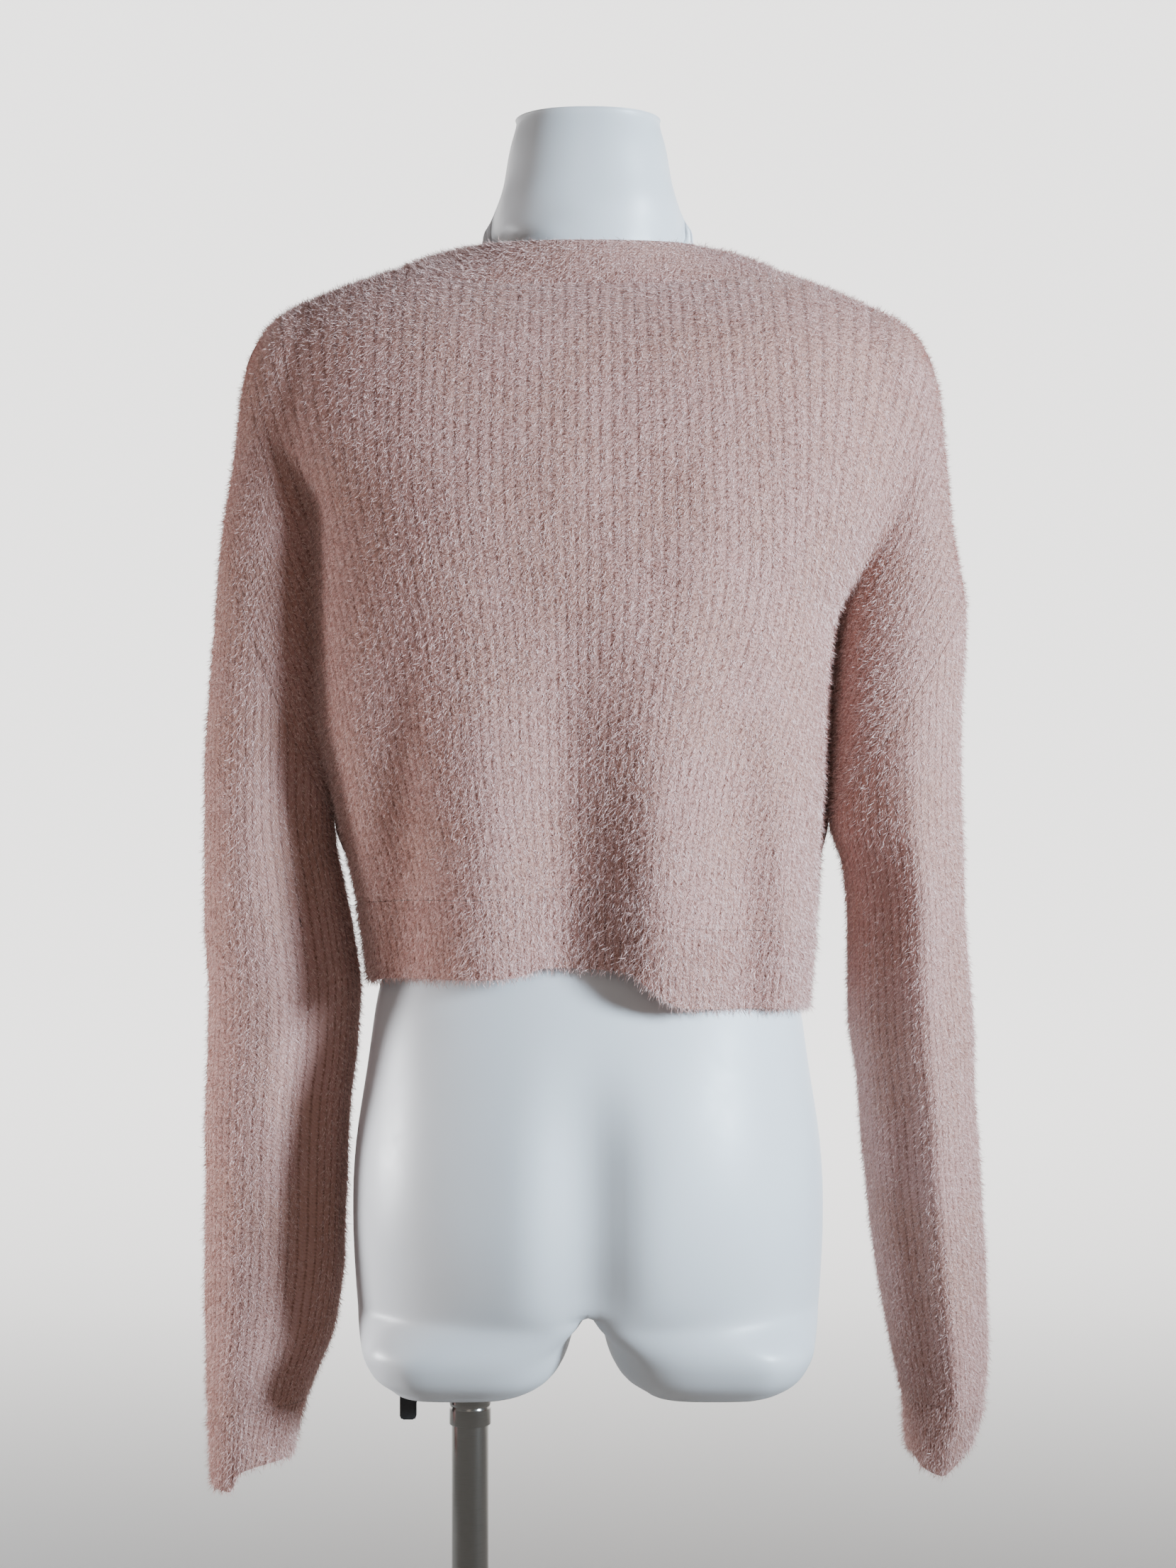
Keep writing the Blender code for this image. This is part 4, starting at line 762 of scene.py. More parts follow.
def knit_wall(name, outer, inner, step, ribs, finish, down=None, closed=False):
    """A closed wall of cloth with its stitches' map and the way its fibres lie."""
    rows, fine = outer.shape[:2]
    picked = picks(fine - 1, step)
    inner = inner[:, picked]
    coarse = inner.shape[1]
    points = np.concatenate([outer.reshape(-1, 3), inner.reshape(-1, 3)]) * MM
    outer_at = np.arange(rows * fine).reshape(rows, fine)
    inner_at = rows * fine + np.arange(rows * coarse).reshape(rows, coarse)
    skin = np.stack([outer_at[:-1, :-1], outer_at[:-1, 1:], outer_at[1:, 1:], outer_at[1:, :-1]], -1)
    lining = np.stack([inner_at[:-1, :-1], inner_at[1:, :-1], inner_at[1:, 1:], inner_at[:-1, 1:]], -1)
    faces = skin.reshape(-1, 4).tolist() + lining.reshape(-1, 4).tolist()
    for r in (0, rows - 1):
        for k in range(coarse - 1):
            chain = outer_at[r, picked[k] : picked[k + 1] + 1].tolist()
            faces += strip_faces(chain, [int(inner_at[r, k]), int(inner_at[r, k + 1])])
    if not closed:
        for c in (0, -1):
            ends = [outer_at[:-1, c], outer_at[1:, c], inner_at[1:, c], inner_at[:-1, c]]
            faces += np.stack(ends, -1).tolist()

    mesh = drawn(name, points.tolist(), faces)
    steps = np.linalg.norm(np.diff(outer, axis=0), axis=-1).mean(axis=1)
    height = np.concatenate([[0], np.cumsum(steps)]) / STITCH
    across_ribs = np.linspace(0, ribs, fine)
    outer_map = np.stack(np.meshgrid(across_ribs, height), -1)
    stitch_map = np.concatenate([outer_map.reshape(-1, 2), outer_map[:, picked].reshape(-1, 2)])
    corners = np.empty(len(mesh.loops), np.int32)
    mesh.loops.foreach_get("vertex_index", corners)
    stitch_map = stitch_map[corners].astype(np.float32)
    mesh.uv_layers.new(name="knit").data.foreach_set("uv", stitch_map.ravel())
    lie = unit(np.gradient(outer, axis=0)) if down is None else down
    lie = np.concatenate([lie.reshape(-1, 3), lie[:, picked].reshape(-1, 3)])
    brushed = np.concatenate([np.ones(rows * fine), np.zeros(rows * coarse)])
    for key, kind, field, values in (
        ("down", "FLOAT_VECTOR", "vector", lie),
        ("brushed", "FLOAT", "value", brushed),
    ):
        data = mesh.attributes.new(key, kind, "POINT").data
        data.foreach_set(field, values.astype(np.float32).ravel())
    return finished(name, mesh, finish)


def linked(name, data):
    """A new object in the scene."""
    obj = bpy.data.objects.new(name, data)
    bpy.context.scene.collection.objects.link(obj)
    return obj


def drawn(name, points, faces):
    mesh = bpy.data.meshes.new(name)
    mesh.from_pydata(points, [], faces)
    return mesh


def mesh_of(name, shape):
    """A new mesh from a shape, which is freed."""
    mesh = bpy.data.meshes.new(name)
    shape.to_mesh(mesh)
    shape.free()
    return mesh


def worked_out(obj):
    """A new mesh with the object's modifiers carried out."""
    graph = bpy.context.evaluated_depsgraph_get()
    return bpy.data.meshes.new_from_object(obj.evaluated_get(graph), depsgraph=graph)


def finished(name, mesh, finish, sharp=60.0):
    """The mesh as an object: merged, facing outwards and smooth."""
    shape = bmesh.new()
    shape.from_mesh(mesh)
    bmesh.ops.remove_doubles(shape, verts=shape.verts, dist=MERGE)
    bmesh.ops.recalc_face_normals(shape, faces=shape.faces)
    if shape.calc_volume(signed=True) < 0:
        bmesh.ops.reverse_faces(shape, faces=shape.faces)
    shape.to_mesh(mesh)
    shape.free()
    mesh.shade_smooth()
    mesh.set_sharp_from_angle(angle=math.radians(sharp))
    mesh.materials.clear()
    mesh.materials.append(finish)
    return linked(name, mesh)


def place(obj, slot, *nodes):
    """Lets a finished piece ride on the stand in place of its plain solids."""
    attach(obj, "root")
    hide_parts(*nodes)
    return obj


def declare(obj, node):
    return place(obj, "pink_knit", node)


# The panels, hems, bands, sleeves and cuffs as walls


def half_panel(side, face, top, seam_column, first_x, columns, rib_height):
    """Outer and inner grids of one half panel, and its neckline's seam."""
    base, ring_normals, into_body, below = panel_grid(side, face, top, first_x, columns)
    sign = WAY[face]
    normals = grid_normals(base, np.array([side * LEAN_ASIDE, sign, LEAN_UP]))
    normals[0, seam_column:] = edge_normals(base[0, seam_column:])
    for back in range(ARMHOLE_COLUMNS):
        share = smooth_step(1 - back / ARMHOLE_COLUMNS)
        column = columns - back
        own = normals[1:, column] * (1 - share) + ring_normals[1:] * share
        normals[1:, column] = np.where(below[1:, None], normals[1:, column], unit(own))
    normals[below, -1] = edge_normals(base[below, -1])
    outer = ribbed(base, normals, ("top", "bottom", "last"), COLUMNS_A_RIB, rib_height)
    inner = base - normals * WALL
    half_gap = SEAM_GAP / 2
    for grid in (outer, inner):
        grid[~below, -1] += into_body[~below] * half_gap
        grid[0, seam_column:, 1] = sign * half_gap
        grid[below, -1, 1] = sign * half_gap
        grid[-1, :, 2] += half_gap
        grid[..., 1] = sign * np.maximum(sign * grid[..., 1], half_gap)
    seam = slice(0, seam_column + 1)
    return outer, inner, {"outer": base[0, seam].copy(), "inner": inner[0, seam].copy()}


def build_back(knit, settings):
    columns = BACK_RIBS * COLUMNS_A_RIB
    halves = {}
    for side, _ in SIDES:
        top, seam_column = back_top(side, columns)
        halves[side] = half_panel(side, "back", top, seam_column, 0.0, columns, settings.rib_height / MM)
    outer, inner = across_middle(halves)
    piece = knit_wall("knit_back", outer, inner, COLUMNS_A_RIB, 2 * BACK_RIBS, knit)
    return piece, {side: half[2] for side, half in halves.items()}


def build_front(side, name, knit, settings):
    columns = FRONT_RIBS * COLUMNS_A_RIB
    top, seam_column = front_top(side, columns)
    outer, inner, seam = half_panel(
        side, "front", top, seam_column, BAND_WIDTH / 2, columns, settings.rib_height / MM
    )
    edges = {"v": seam, "upright": outer[:, 0].copy(), "upright_inner": inner[:, 0].copy()}
    return knit_wall(name, outer, inner, COLUMNS_A_RIB, FRONT_RIBS, knit), edges


def half_hem(side, face, first_x, columns, settings):
    """Outer and inner grids of one side of a hem band."""
    rows = []
    fine = np.linspace(0, 1, PANEL_STEPS + 1)
    for drop in np.linspace(0, 1, HEM_ROWS + 1):
        last_x = side_width(side, HEM_SEAM_ABOUT - HEM_SEARCH * drop)
        for _ in range(3):
            x = first_x + (last_x - first_x) * np.sin(fine * math.pi / 2)
            z = across(HEM[face], side * x) + HEM_BAND * (1 - drop)
            last_x = float(side_width(side, z[-1]))
        y = body_depth(x, z, side, face)
        if face == "back":
            y += crease(side * x, z, BACK_CREASES) * np.clip(y / EDGE_DEPTH, 0, 1)
        y[-1] = 0
        points = np.stack([x, y, z], axis=-1)
        rows.append(placed_on(points, fine, even_stations(points, columns)))
    sign = WAY[face]
    base = np.array(rows) * np.array([side, sign, 1])
    normals = grid_normals(base, np.array([side * LEAN_ASIDE, sign, 0.0]))
    normals[:, -1] = (side, 0, 0)
    normals = unit(normals * [1, 1, 0])
    height = settings.rib_height / MM * HEM_RIB_SHARE
    outer = ribbed(base, normals, ("top", "bottom"), COLUMNS_A_FINE_RIB, height)
    inner = base - normals * WALL
    for grid in (outer, inner):
        grid[:, -1, 1] = sign * SEAM_GAP / 2
        grid[0, :, 2] -= SEAM_GAP / 2
    return outer, inner


def build_back_hem(knit, settings):
    columns = HEM_BACK_RIBS * COLUMNS_A_FINE_RIB
    halves = {side: half_hem(side, "back", 0.0, columns, settings) for side, _ in SIDES}
    outer, inner = across_middle(halves)
    return knit_wall("knit_hem_back", outer, inner, COLUMNS_A_FINE_RIB, 2 * HEM_BACK_RIBS, knit)


def build_front_hem(side, name, knit, settings):
    columns = HEM_FRONT_RIBS * COLUMNS_A_FINE_RIB
    outer, inner = half_hem(side, "front", BAND_WIDTH / 2, columns, settings)
    edges = (outer[:, 0].copy(), inner[:, 0].copy())
    return knit_wall(name, outer, inner, COLUMNS_A_FINE_RIB, HEM_FRONT_RIBS, knit), edges


def build_neckband(seams, plain_knit):
    """The band behind the neck, from shoulder seam to shoulder seam."""
    outer_seam, inner_seam = (
        np.concatenate([seams[-1][k][::-1], seams[1][k][1:]]) for k in ("outer", "inner")
    )
    turn = np.linspace(-math.pi / 2, math.pi / 2, len(outer_seam))
    rise = NECK_EDGE_SIDE_HEIGHT - NECK_EDGE_BACK_HEIGHT
    free = np.stack(
        [
            NECK_EDGE_HALF_WIDTH * np.sin(turn),
            NECK_EDGE_BACK_DEPTH * np.cos(turn),
            NECK_EDGE_BACK_HEIGHT + rise * np.sin(turn) ** 2,
        ],
        axis=-1,
    )
    outwards = np.stack([np.sin(turn), np.cos(turn), np.full(len(turn), NECKBAND_LEAN)], axis=-1)
    share = np.linspace(0, 1, BAND_COLUMNS + 1)[:, None, None]
    outer = outer_seam + (free - outer_seam) * share
    normals = grid_normals(outer, outwards)
    roll = NECKBAND_ROLL * 4 * share * (1 - share) - NECKBAND_TURN_IN * share**NECKBAND_TURN_SHARPNESS
    inner = outer + normals * (roll - WALL)
    outer = outer + normals * (roll - FUZZ)
    inner[0] = inner_seam
    outer[0, :, 2] += SEAM_GAP
    inner[0, :, 2] += SEAM_GAP
    for end in (0, -1):
        inner[1:, end] = outer[1:, end] - edge_normals(outer[:, end])[1:] * WALL
        outer[:, end, 1] = inner[:, end, 1] = SEAM_GAP / 2
    slanting = unit(outer[:1] - outer[-1:]) + unit(np.gradient(outer[:1], axis=1)) * NECKBAND_SLANT
    down = unit(np.broadcast_to(slanting, outer.shape))
    step = NECKBAND_LINING_STEP
    return knit_wall("knit_neckband", outer, inner, step, NECKBAND_WALES, plain_knit, down=down)


def lap_offset(side, z):
    """How far a front band's free edge leaves the fronts' surface where the bands cross."""
    return smooth_step((LAP_STARTS - z) / (LAP_STARTS - LAP_FULL)) * BAND_LAP * side


def build_front_band(side, name, front, hem, plain_knit):
    """One front's band: up the opening from the hem, along the V and over to the shoulder seam."""
    v = front["v"]
    count = len(v["outer"])
    outer_seam = np.concatenate([hem[0][::-1], front["upright"][:0:-1], v["outer"]])
    inner_seam = np.concatenate([hem[1][::-1], front["upright_inner"][:0:-1], v["inner"]])
    lower = len(outer_seam) - count
    outer_seam[:lower, 0] = inner_seam[:lower, 0] = side * (BAND_WIDTH / 2 - SEAM_GAP)
    outer_seam[lower:] += unit([-side, 0, V_SLANT]) * SEAM_GAP
    inner_seam[lower:] += unit([-side, 0, V_SLANT]) * SEAM_GAP
    share = np.concatenate([np.zeros(lower), np.linspace(0, 1, count)])
    grid = []
    for s in np.linspace(0, 1, BAND_COLUMNS + 1):
        free_x = -BAND_WIDTH / 2 + (NECK_EDGE_HALF_WIDTH + BAND_WIDTH / 2) * share
        rise = V_POINT_HEIGHT + (NECK_EDGE_SIDE_HEIGHT - V_POINT_HEIGHT) * share
        free_z = np.where(share > 0, rise, outer_seam[:, 2])
        x = side * outer_seam[:, 0] * (1 - s) + free_x * s
        z = outer_seam[:, 2] * (1 - s) + free_z * s
        same_side = body_depth(np.abs(x), z, side, "front")
        other_side = body_depth(np.abs(x), z, -side, "front")
        y = -np.where(x >= 0, same_side, other_side) - BAND_ROLL * 4 * s * (1 - s)
        grid.append(np.stack([side * x, y + lap_offset(side, z) * s, z], axis=-1))
    outer = np.array(grid)
    outer[0] = outer_seam
    normals = grid_normals(outer, np.array([0.0, -1.0, BAND_LEAN]))
    inner = outer - normals * WALL
    outer = outer - normals * FUZZ
    inner[0] = inner_seam
    inner[1:, -1] = outer[1:, -1] - edge_normals(outer[:, -1])[1:] * WALL
    outer[:, -1, 1] = inner[:, -1, 1] = -SEAM_GAP / 2
    fibres = -unit(np.gradient(outer, axis=1))
    band = knit_wall(name, outer, inner, BAND_LINING_STEP, BAND_WALES, plain_knit, down=fibres)
    return band, outer, normals


def build_sleeve(side, name, knit, settings):
    columns = SLEEVE_RIBS * COLUMNS_A_RIB
    angles = np.linspace(0, 2 * math.pi, columns + 1)
    along = np.linspace(0, 1, SLEEVE_ROWS + 1)
    base = np.array([sleeve_point(angles, t, side) for t in along])
    normals = tube_normals(base)
    _, ring_normals, into_body = armhole(side, angles)
    for k in range(SLEEVE_TOP_ROWS):
        mix = smooth_step(1 - k / SLEEVE_TOP_ROWS)
        normals[k] = unit(normals[k] * (1 - mix) + ring_normals * mix)
    swell = slack(base[..., 0] * SLEEVE_SWELLS, base[..., 2], 4.0 + side)
    swell = swell + crease(np.degrees(angles), base[..., 2], SLEEVE_CREASES[side])
    swell = swell * np.sin(math.pi * along)[:, None] ** 0.5
    swollen = base + normals * swell[..., None]
    height = settings.rib_height / MM * SLEEVE_RIB_SHARE
    outer = ribbed(swollen, normals, ("top", "bottom"), COLUMNS_A_RIB, height)
    inner = base - normals * WALL
    for grid in (outer, inner):
        grid[0] -= into_body * SEAM_GAP / 2
        grid[-1, :, 2] += SEAM_GAP / 2
    return knit_wall(name, outer, inner, COLUMNS_A_RIB, SLEEVE_RIBS, knit, closed=True)


def build_cuff(side, name, knit, settings):
    angles = np.linspace(0, 2 * math.pi, CUFF_RIBS * COLUMNS_A_FINE_RIB + 1)
    share, cuff = inwards(angles), CUFF_SEAM[side]
    top = cuff["outer"] + (cuff["inner"] - cuff["outer"]) * share - SEAM_GAP / 2
    bottom = smooth_curve(*np.array(CUFF_EDGE[side]).T, share)
    drops = np.linspace(0, 1, CUFF_ROWS + 1)
    base = np.array([round_sleeve(angles, top + (bottom - top) * drop, side) for drop in drops])
    normals = unit(tube_normals(base) * [1, 1, 0])
    height = settings.rib_height / MM * SLEEVE_RIB_SHARE
    outer = ribbed(base, normals, ("top", "bottom"), COLUMNS_A_FINE_RIB, height)
    inner = base - normals * WALL
    return knit_wall(name, outer, inner, COLUMNS_A_FINE_RIB, CUFF_RIBS, knit, closed=True)


# Materials


class Nodes:
    """Adds and joins nodes in one tree."""

    def __init__(self, tree):
        self.tree = tree

    def add(self, kind, *inputs, named=None, **settings):
        """A new node whose inputs are fed by their place or by name."""
        node = self.tree.nodes.new(kind)
        for name, value in settings.items():
            setattr(node, name, value)
        for socket, value in zip(node.inputs, inputs):
            self.feed(socket, value)
        for name, value in (named or {}).items():
            self.feed(node.inputs[name], value)
        return node

    def feed(self, socket, value):
        if isinstance(value, bpy.types.NodeSocket):
            self.tree.links.new(value, socket)
        else:
            socket.default_value = value

    def shade(self, values):
        """Feeds the material's shader by name."""
        for name, value in values.items():
            self.feed(self.tree.nodes["Principled BSDF"].inputs[name], value)

    def where(self):
        return self.add("ShaderNodeTexCoord").outputs["Object"]

    def math(self, operation, *inputs):
        return self.add("ShaderNodeMath", *inputs, operation=operation).outputs[0]

    def times(self, value, share):
        return self.math("MULTIPLY", value, share)

    def total(self, first, *others):
        for other in others:
            first = self.math("ADD", first, other)
        return first

    def off_middle(self, value):
        return self.math("ABSOLUTE", self.math("SUBTRACT", value, 0.5))

    def swing(self, value, share):
        """A noise's share, above and below zero."""
        return self.times(self.math("SUBTRACT", value, 0.5), share)

    def scaled(self, vector, factors):
        return self.add("ShaderNodeVectorMath", vector, factors, operation="MULTIPLY").outputs[0]

    def between(self, value, low, high):
        """0 below low, 1 above high, and smooth between them."""
        smooth = {"interpolation_type": "SMOOTHSTEP"}
        return self.add("ShaderNodeMapRange", value, low, high, 0.0, 1.0, **smooth).outputs[0]

    def ranged(self, value, low, high, to_low, to_high):
        return self.add("ShaderNodeMapRange", value, low, high, to_low, to_high).outputs[0]

    def mix(self, share, first, second):
        node = self.add("ShaderNodeMix", data_type="RGBA")
        for name, kind, value in (("Factor", "VALUE", share), ("A", "RGBA", first), ("B", "RGBA", second)):
            self.feed(next(s for s in node.inputs if s.name == name and s.type == kind), value)
        return next(s for s in node.outputs if s.type == "RGBA")

    def noise(self, vector, scale, detail=3.0, roughness=0.55):
        values = {"Vector": vector, "Scale": scale, "Detail": detail, "Roughness": roughness}
        return self.add("ShaderNodeTexNoise", named=values).outputs["Fac"]

    def bump(self, height, strength, distance):
        values = {"Height": height, "Strength": strength, "Distance": distance}
        return self.add("ShaderNodeBump", named=values).outputs[0]


def new_material(name, roughness, metallic=0.0):
    """A material with its shader's steady values set, and its tree's helper."""
    material = bpy.data.materials.new(name)
    material.use_nodes = True
    nodes = Nodes(material.node_tree)
    nodes.shade({"Roughness": roughness, "Metallic": metallic})
    return material, nodes


def rgba(colour, share=1.0):
    return (*(c * share for c in colour), 1.0)


def knit_material(name, settings, grooves, stitches):
    """Brushed yarn: soft crests, grooves crossed by stitches and darkened with painted shade, as are the
    gaps between stitches, and streaks of fibre.
    """
    material, nodes = new_material(name, 0.92)
    uv = nodes.add("ShaderNodeUVMap", uv_map="knit").outputs[0]
    across_ribs, upwards = nodes.add("ShaderNodeSeparateXYZ", uv).outputs[:2]
    off_crest = nodes.times(nodes.off_middle(nodes.math("FRACT", across_ribs)), 2.0)
    # The grooves between the ribs, which the colour below darkens with painted shade.
    groove = nodes.between(off_crest, 0.45, 0.98)
    stitch = nodes.math("FRACT", nodes.total(upwards, nodes.times(off_crest, 0.55)))
    # The gaps between stitches, darkened with painted shade in the colour and sunk by the bump.
    gap = nodes.between(nodes.off_middle(stitch), 0.28, 0.5)

    where = nodes.where()
    streak = nodes.noise(nodes.scaled(uv, (3.2, 0.9, 1.0)), 1.0, 5.0, 0.7)
    fluff = nodes.noise(where, 420.0, 3.0, 0.6)
    patch = nodes.noise(where, 21.0, 2.0, 0.5)
    crest = nodes.mix(nodes.between(patch, 0.35, 0.65), rgba(settings.crest), rgba(settings.crest_warm))
    # The yarn's colour darkened with painted shade for the grooves and stitch gaps, in warmer and cooler
    # patches.
    shaded_yarn = nodes.mix(nodes.between(patch, 0.4, 0.6), rgba(settings.groove), rgba(settings.cool_groove_shade))
    # How far each point leans to the shaded colour: painted shade in grooves and stitch gaps, plus random
    # streaks and fluff of tone.
    painted_shade_and_streaks = nodes.total(nodes.times(groove, grooves), nodes.times(gap, stitches))
    painted_shade_and_streaks = nodes.total(painted_shade_and_streaks, nodes.swing(streak, 1.3), nodes.swing(fluff, 0.9))
    height = nodes.math("SUBTRACT", 1.0, nodes.times(gap, 0.5))
    height = nodes.total(height, nodes.times(streak, 0.9), nodes.times(fluff, 0.5))
    nodes.shade(
        {
            "Base Color": nodes.mix(nodes.between(painted_shade_and_streaks, 0.0, 1.0), crest, shaded_yarn),
            "Normal": nodes.bump(height, 0.7, 0.0009),
            "Sheen Weight": 0.35,
            "Sheen Roughness": 0.4,
            "Sheen Tint": (1.0, 0.93, 0.92, 1.0),
            "Specular IOR Level": 0.2,
        }
    )
    return material


def fibre_material(settings, knit):
    """Fine pale hairs."""
    material, nodes = new_material("brushed_fibre", 0.75)
    tone = nodes.between(nodes.noise(nodes.where(), 620.0, 2.0), 0.36, 0.62)
    hair = nodes.mix(tone, rgba(knit.crest_warm), rgba(settings.fibre))
    nodes.shade({"Base Color": hair, "Specular IOR Level": 0.25, "Sheen Weight": 0.3})
    return material


def plastic_material(colour):
    """Smooth white moulded plastic with faint scuffs and handling marks."""
    material, nodes = new_material("moulded_plastic", 0.42)
    where = nodes.where()
    cloud = nodes.between(nodes.noise(where, 9.0, 4.0, 0.6), 0.35, 0.75)
    worn = nodes.mix(nodes.times(cloud, 0.35), rgba(colour), rgba(colour, 0.88))
    marks = nodes.noise(nodes.scaled(where, (1.0, 1.0, 2.6)), 34.0, 6.0, 0.75)
    marks = nodes.times(nodes.between(marks, 0.66, 0.8), 0.3)
    nodes.shade(
        {
            "Base Color": nodes.mix(marks, worn, rgba(colour, 0.72)),
            "Roughness": nodes.ranged(nodes.noise(where, 60.0, 4.0), 0.0, 1.0, 0.32, 0.5),
            "Normal": nodes.bump(nodes.noise(where, 900.0, 2.0), 0.08, 0.0003),
        }
    )
    return material


def chrome_material(colour):
    """Chromed tube and plate with fine rubbing marks."""
    material, nodes = new_material("chromed_tube", 0.16, 1.0)
    rub = nodes.noise(nodes.scaled(nodes.where(), (1.0, 1.0, 14.0)), 120.0, 4.0)
    dull = nodes.mix(nodes.between(rub, 0.45, 0.75), rgba(colour), rgba(colour, 0.94))
    nodes.shade({"Base Color": dull, "Roughness": nodes.ranged(rub, 0.3, 0.8, 0.15, 0.19)})
    return material


def lever_material(colour):
    """Black moulded plastic with a fine grain."""
    material, nodes = new_material("lever_plastic", 0.45)
    grain = nodes.noise(nodes.where(), 1400.0, 2.0)
    tone = nodes.mix(grain, rgba(colour), rgba(colour, 2.2))
    nodes.shade({"Base Color": tone, "Normal": nodes.bump(grain, 0.2, 0.0002)})
    return material


def button_material(colour):
    """Cast resin with a soft pearl cloud."""
    material, nodes = new_material("cast_resin", 0.28)
    cloud = nodes.between(nodes.noise(nodes.where(), 260.0, 5.0, 0.7), 0.35, 0.7)
    pale = rgba([min(1.0, c * 1.15) for c in colour])
    nodes.shade({"Base Color": nodes.mix(cloud, rgba(colour), pale), "Coat Weight": 0.3})
    return material


# Fibres over the cloth


def fibre_shapes():
    """A few bent, tapering hairs of length 1, in a collection that is removed after use."""
    shapes = bpy.data.collections.new("fibre_shapes")
    for n, (bend, hook) in enumerate(((0.0, 0.0), (0.3, 0.1), (0.0, 0.4), (0.0, -0.3), (0.0, 0.15))):
        points = [(0, -0.5, 0), (0, 0.5, 0.1), (hook * 0.5, hook, 1.0)]
        faces = [(0, 1, 2)]
        if bend:
            points = [(0, 0, 0), (bend * 0.25, -0.5, 0.45), (bend * 0.25, 0.5, 0.55), (bend, hook, 1.0)]
            faces = [(0, 2, 1), (1, 2, 3)]
        shapes.objects.link(bpy.data.objects.new(f"fibre_{n}", drawn(f"fibre_{n}", points, faces)))
    return shapes


def fibre_tree(shapes, finish):
    """Scatters hairs over the brushed side of a cloth, lying along it and standing off a little."""
    tree = bpy.data.node_groups.new("Brushed fibres", "GeometryNodeTree")
    for name, kind, way in (
        ("Cloth", "Geometry", "INPUT"),
        ("Hairs a square metre", "Float", "INPUT"),
        ("Length", "Float", "INPUT"),
        ("Thickness", "Float", "INPUT"),
        ("Stand-off", "Float", "INPUT"),
        ("Seed", "Int", "INPUT"),
        ("Hairs", "Geometry", "OUTPUT"),
    ):
        tree.interface.new_socket(name, in_out=way, socket_type="NodeSocket" + kind)
    nodes = Nodes(tree)
    inputs = nodes.add("NodeGroupInput").outputs

    def attribute(name, kind):
        return nodes.add("GeometryNodeInputNamedAttribute", name, data_type=kind).outputs[0]

    def random(step, low, high):
        """A random number, or a random vector between two vectors."""
        vector = isinstance(low, tuple)
        node = nodes.add("FunctionNodeRandomValue", data_type="FLOAT_VECTOR" if vector else "FLOAT")
        for socket, value in zip(node.inputs if vector else node.inputs[2:], (low, high)):
            socket.default_value = value
        nodes.feed(node.inputs["Seed"], nodes.math("ADD", inputs["Seed"], step))
        return node.outputs[0 if vector else 1]

    def plus(first, second):
        return nodes.add("ShaderNodeVectorMath", first, second, operation="ADD").outputs[0]

    brushed = nodes.math("GREATER_THAN", attribute("brushed", "FLOAT"), 0.99)
    values = {
        "Mesh": inputs["Cloth"],
        "Density": nodes.times(inputs["Hairs a square metre"], brushed),
        "Seed": inputs["Seed"],
    }
    kind = "GeometryNodeDistributePointsOnFaces"
    scatter = nodes.add(kind, named=values, distribute_method="RANDOM").outputs
    stand = {"Scale": nodes.times(inputs["Stand-off"], random(*HAIR_STAND))}
    out = nodes.add("ShaderNodeVectorMath", scatter["Normal"], named=stand, operation="SCALE").outputs[0]
    way = plus(plus(attribute("down", "FLOAT_VECTOR"), out), random(*HAIR_STRAY))
    turn = nodes.add("FunctionNodeAlignRotationToVector", named={"Vector": way}, axis="Z").outputs[0]
    spin = nodes.add("FunctionNodeAxisAngleToRotation", (0, 0, 1), random(*HAIR_SPIN)).outputs[0]
    long = nodes.times(inputs["Length"], random(*HAIR_LENGTH))
    bend = nodes.times(long, random(*HAIR_BEND))
    values = {"Collection": shapes, "Separate Children": True, "Reset Children": True}
    values = {
        "Points": scatter["Points"],
        "Instance": nodes.add("GeometryNodeCollectionInfo", named=values).outputs[0],
        "Pick Instance": True,
        "Rotation": nodes.add("FunctionNodeRotateRotation", turn, spin, rotation_space="LOCAL").outputs[0],
        "Scale": nodes.add("ShaderNodeCombineXYZ", bend, inputs["Thickness"], long).outputs[0],
    }
    hairs = nodes.add("GeometryNodeInstanceOnPoints", named=values).outputs[0]
    real = nodes.add("GeometryNodeRealizeInstances", hairs).outputs[0]
    coated = nodes.add("GeometryNodeSetMaterial", named={"Geometry": real, "Material": finish}).outputs[0]
    nodes.add("NodeGroupOutput", coated)
    return tree


def grow_fibres(cloth, coat, tree, settings, seed, row):
    """One coat of hairs on one piece of cloth, as a plain mesh."""
    obj = linked(cloth.name.replace("knit", "fibres") + f"_{coat + 1}", cloth.data.copy())
    modifier = obj.modifiers.new("Brushed fibres", "NODES")
    modifier.node_group = tree
    values = {
        "Hairs a square metre": settings.hairs * row["hairs"],
        "Length": settings.hair_length * row["hair_length"],
        "Thickness": settings.hair_thickness,
        "Stand-off": settings.hair_stand_off,
        "Seed": seed,
    }
    for item in tree.interface.items_tree:
        if item.in_out == "INPUT" and item.name in values:
            modifier[item.identifier] = values[item.name]
    obj.update_tag()
    mesh = worked_out(obj)
    obj.modifiers.clear()
    old = obj.data
    obj.data = mesh
    bpy.data.meshes.remove(old)
    for name in ("brushed", "down"):
        if name in mesh.attributes:
            mesh.attributes.remove(mesh.attributes[name])
    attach(obj, "root")
    return obj


# Buttons, form and stand


def turned(name, profile, sides, finish, x=0.0, y=0.0, sharp=35.0):
    """A shape turned about an upright axis from a profile of (radius, height), in millimetres."""
    turns = [2 * math.pi * k / sides for k in range(sides)]
    points = [
        ((x + radius * math.cos(turn)) * MM, (y + radius * math.sin(turn)) * MM, height * MM)
        for radius, height in profile
        for turn in turns
    ]
    count = len(profile)
    rings = count if profile[0][0] > 0 and profile[-1][0] > 0 else count - 1
    faces = []
    for r in range(rings):
        a, b = r * sides, (r + 1) % count * sides
        faces += [(a + k, a + (k + 1) % sides, b + (k + 1) % sides, b + k) for k in range(sides)]
    return finished(name, drawn(name, points, faces), finish, sharp)


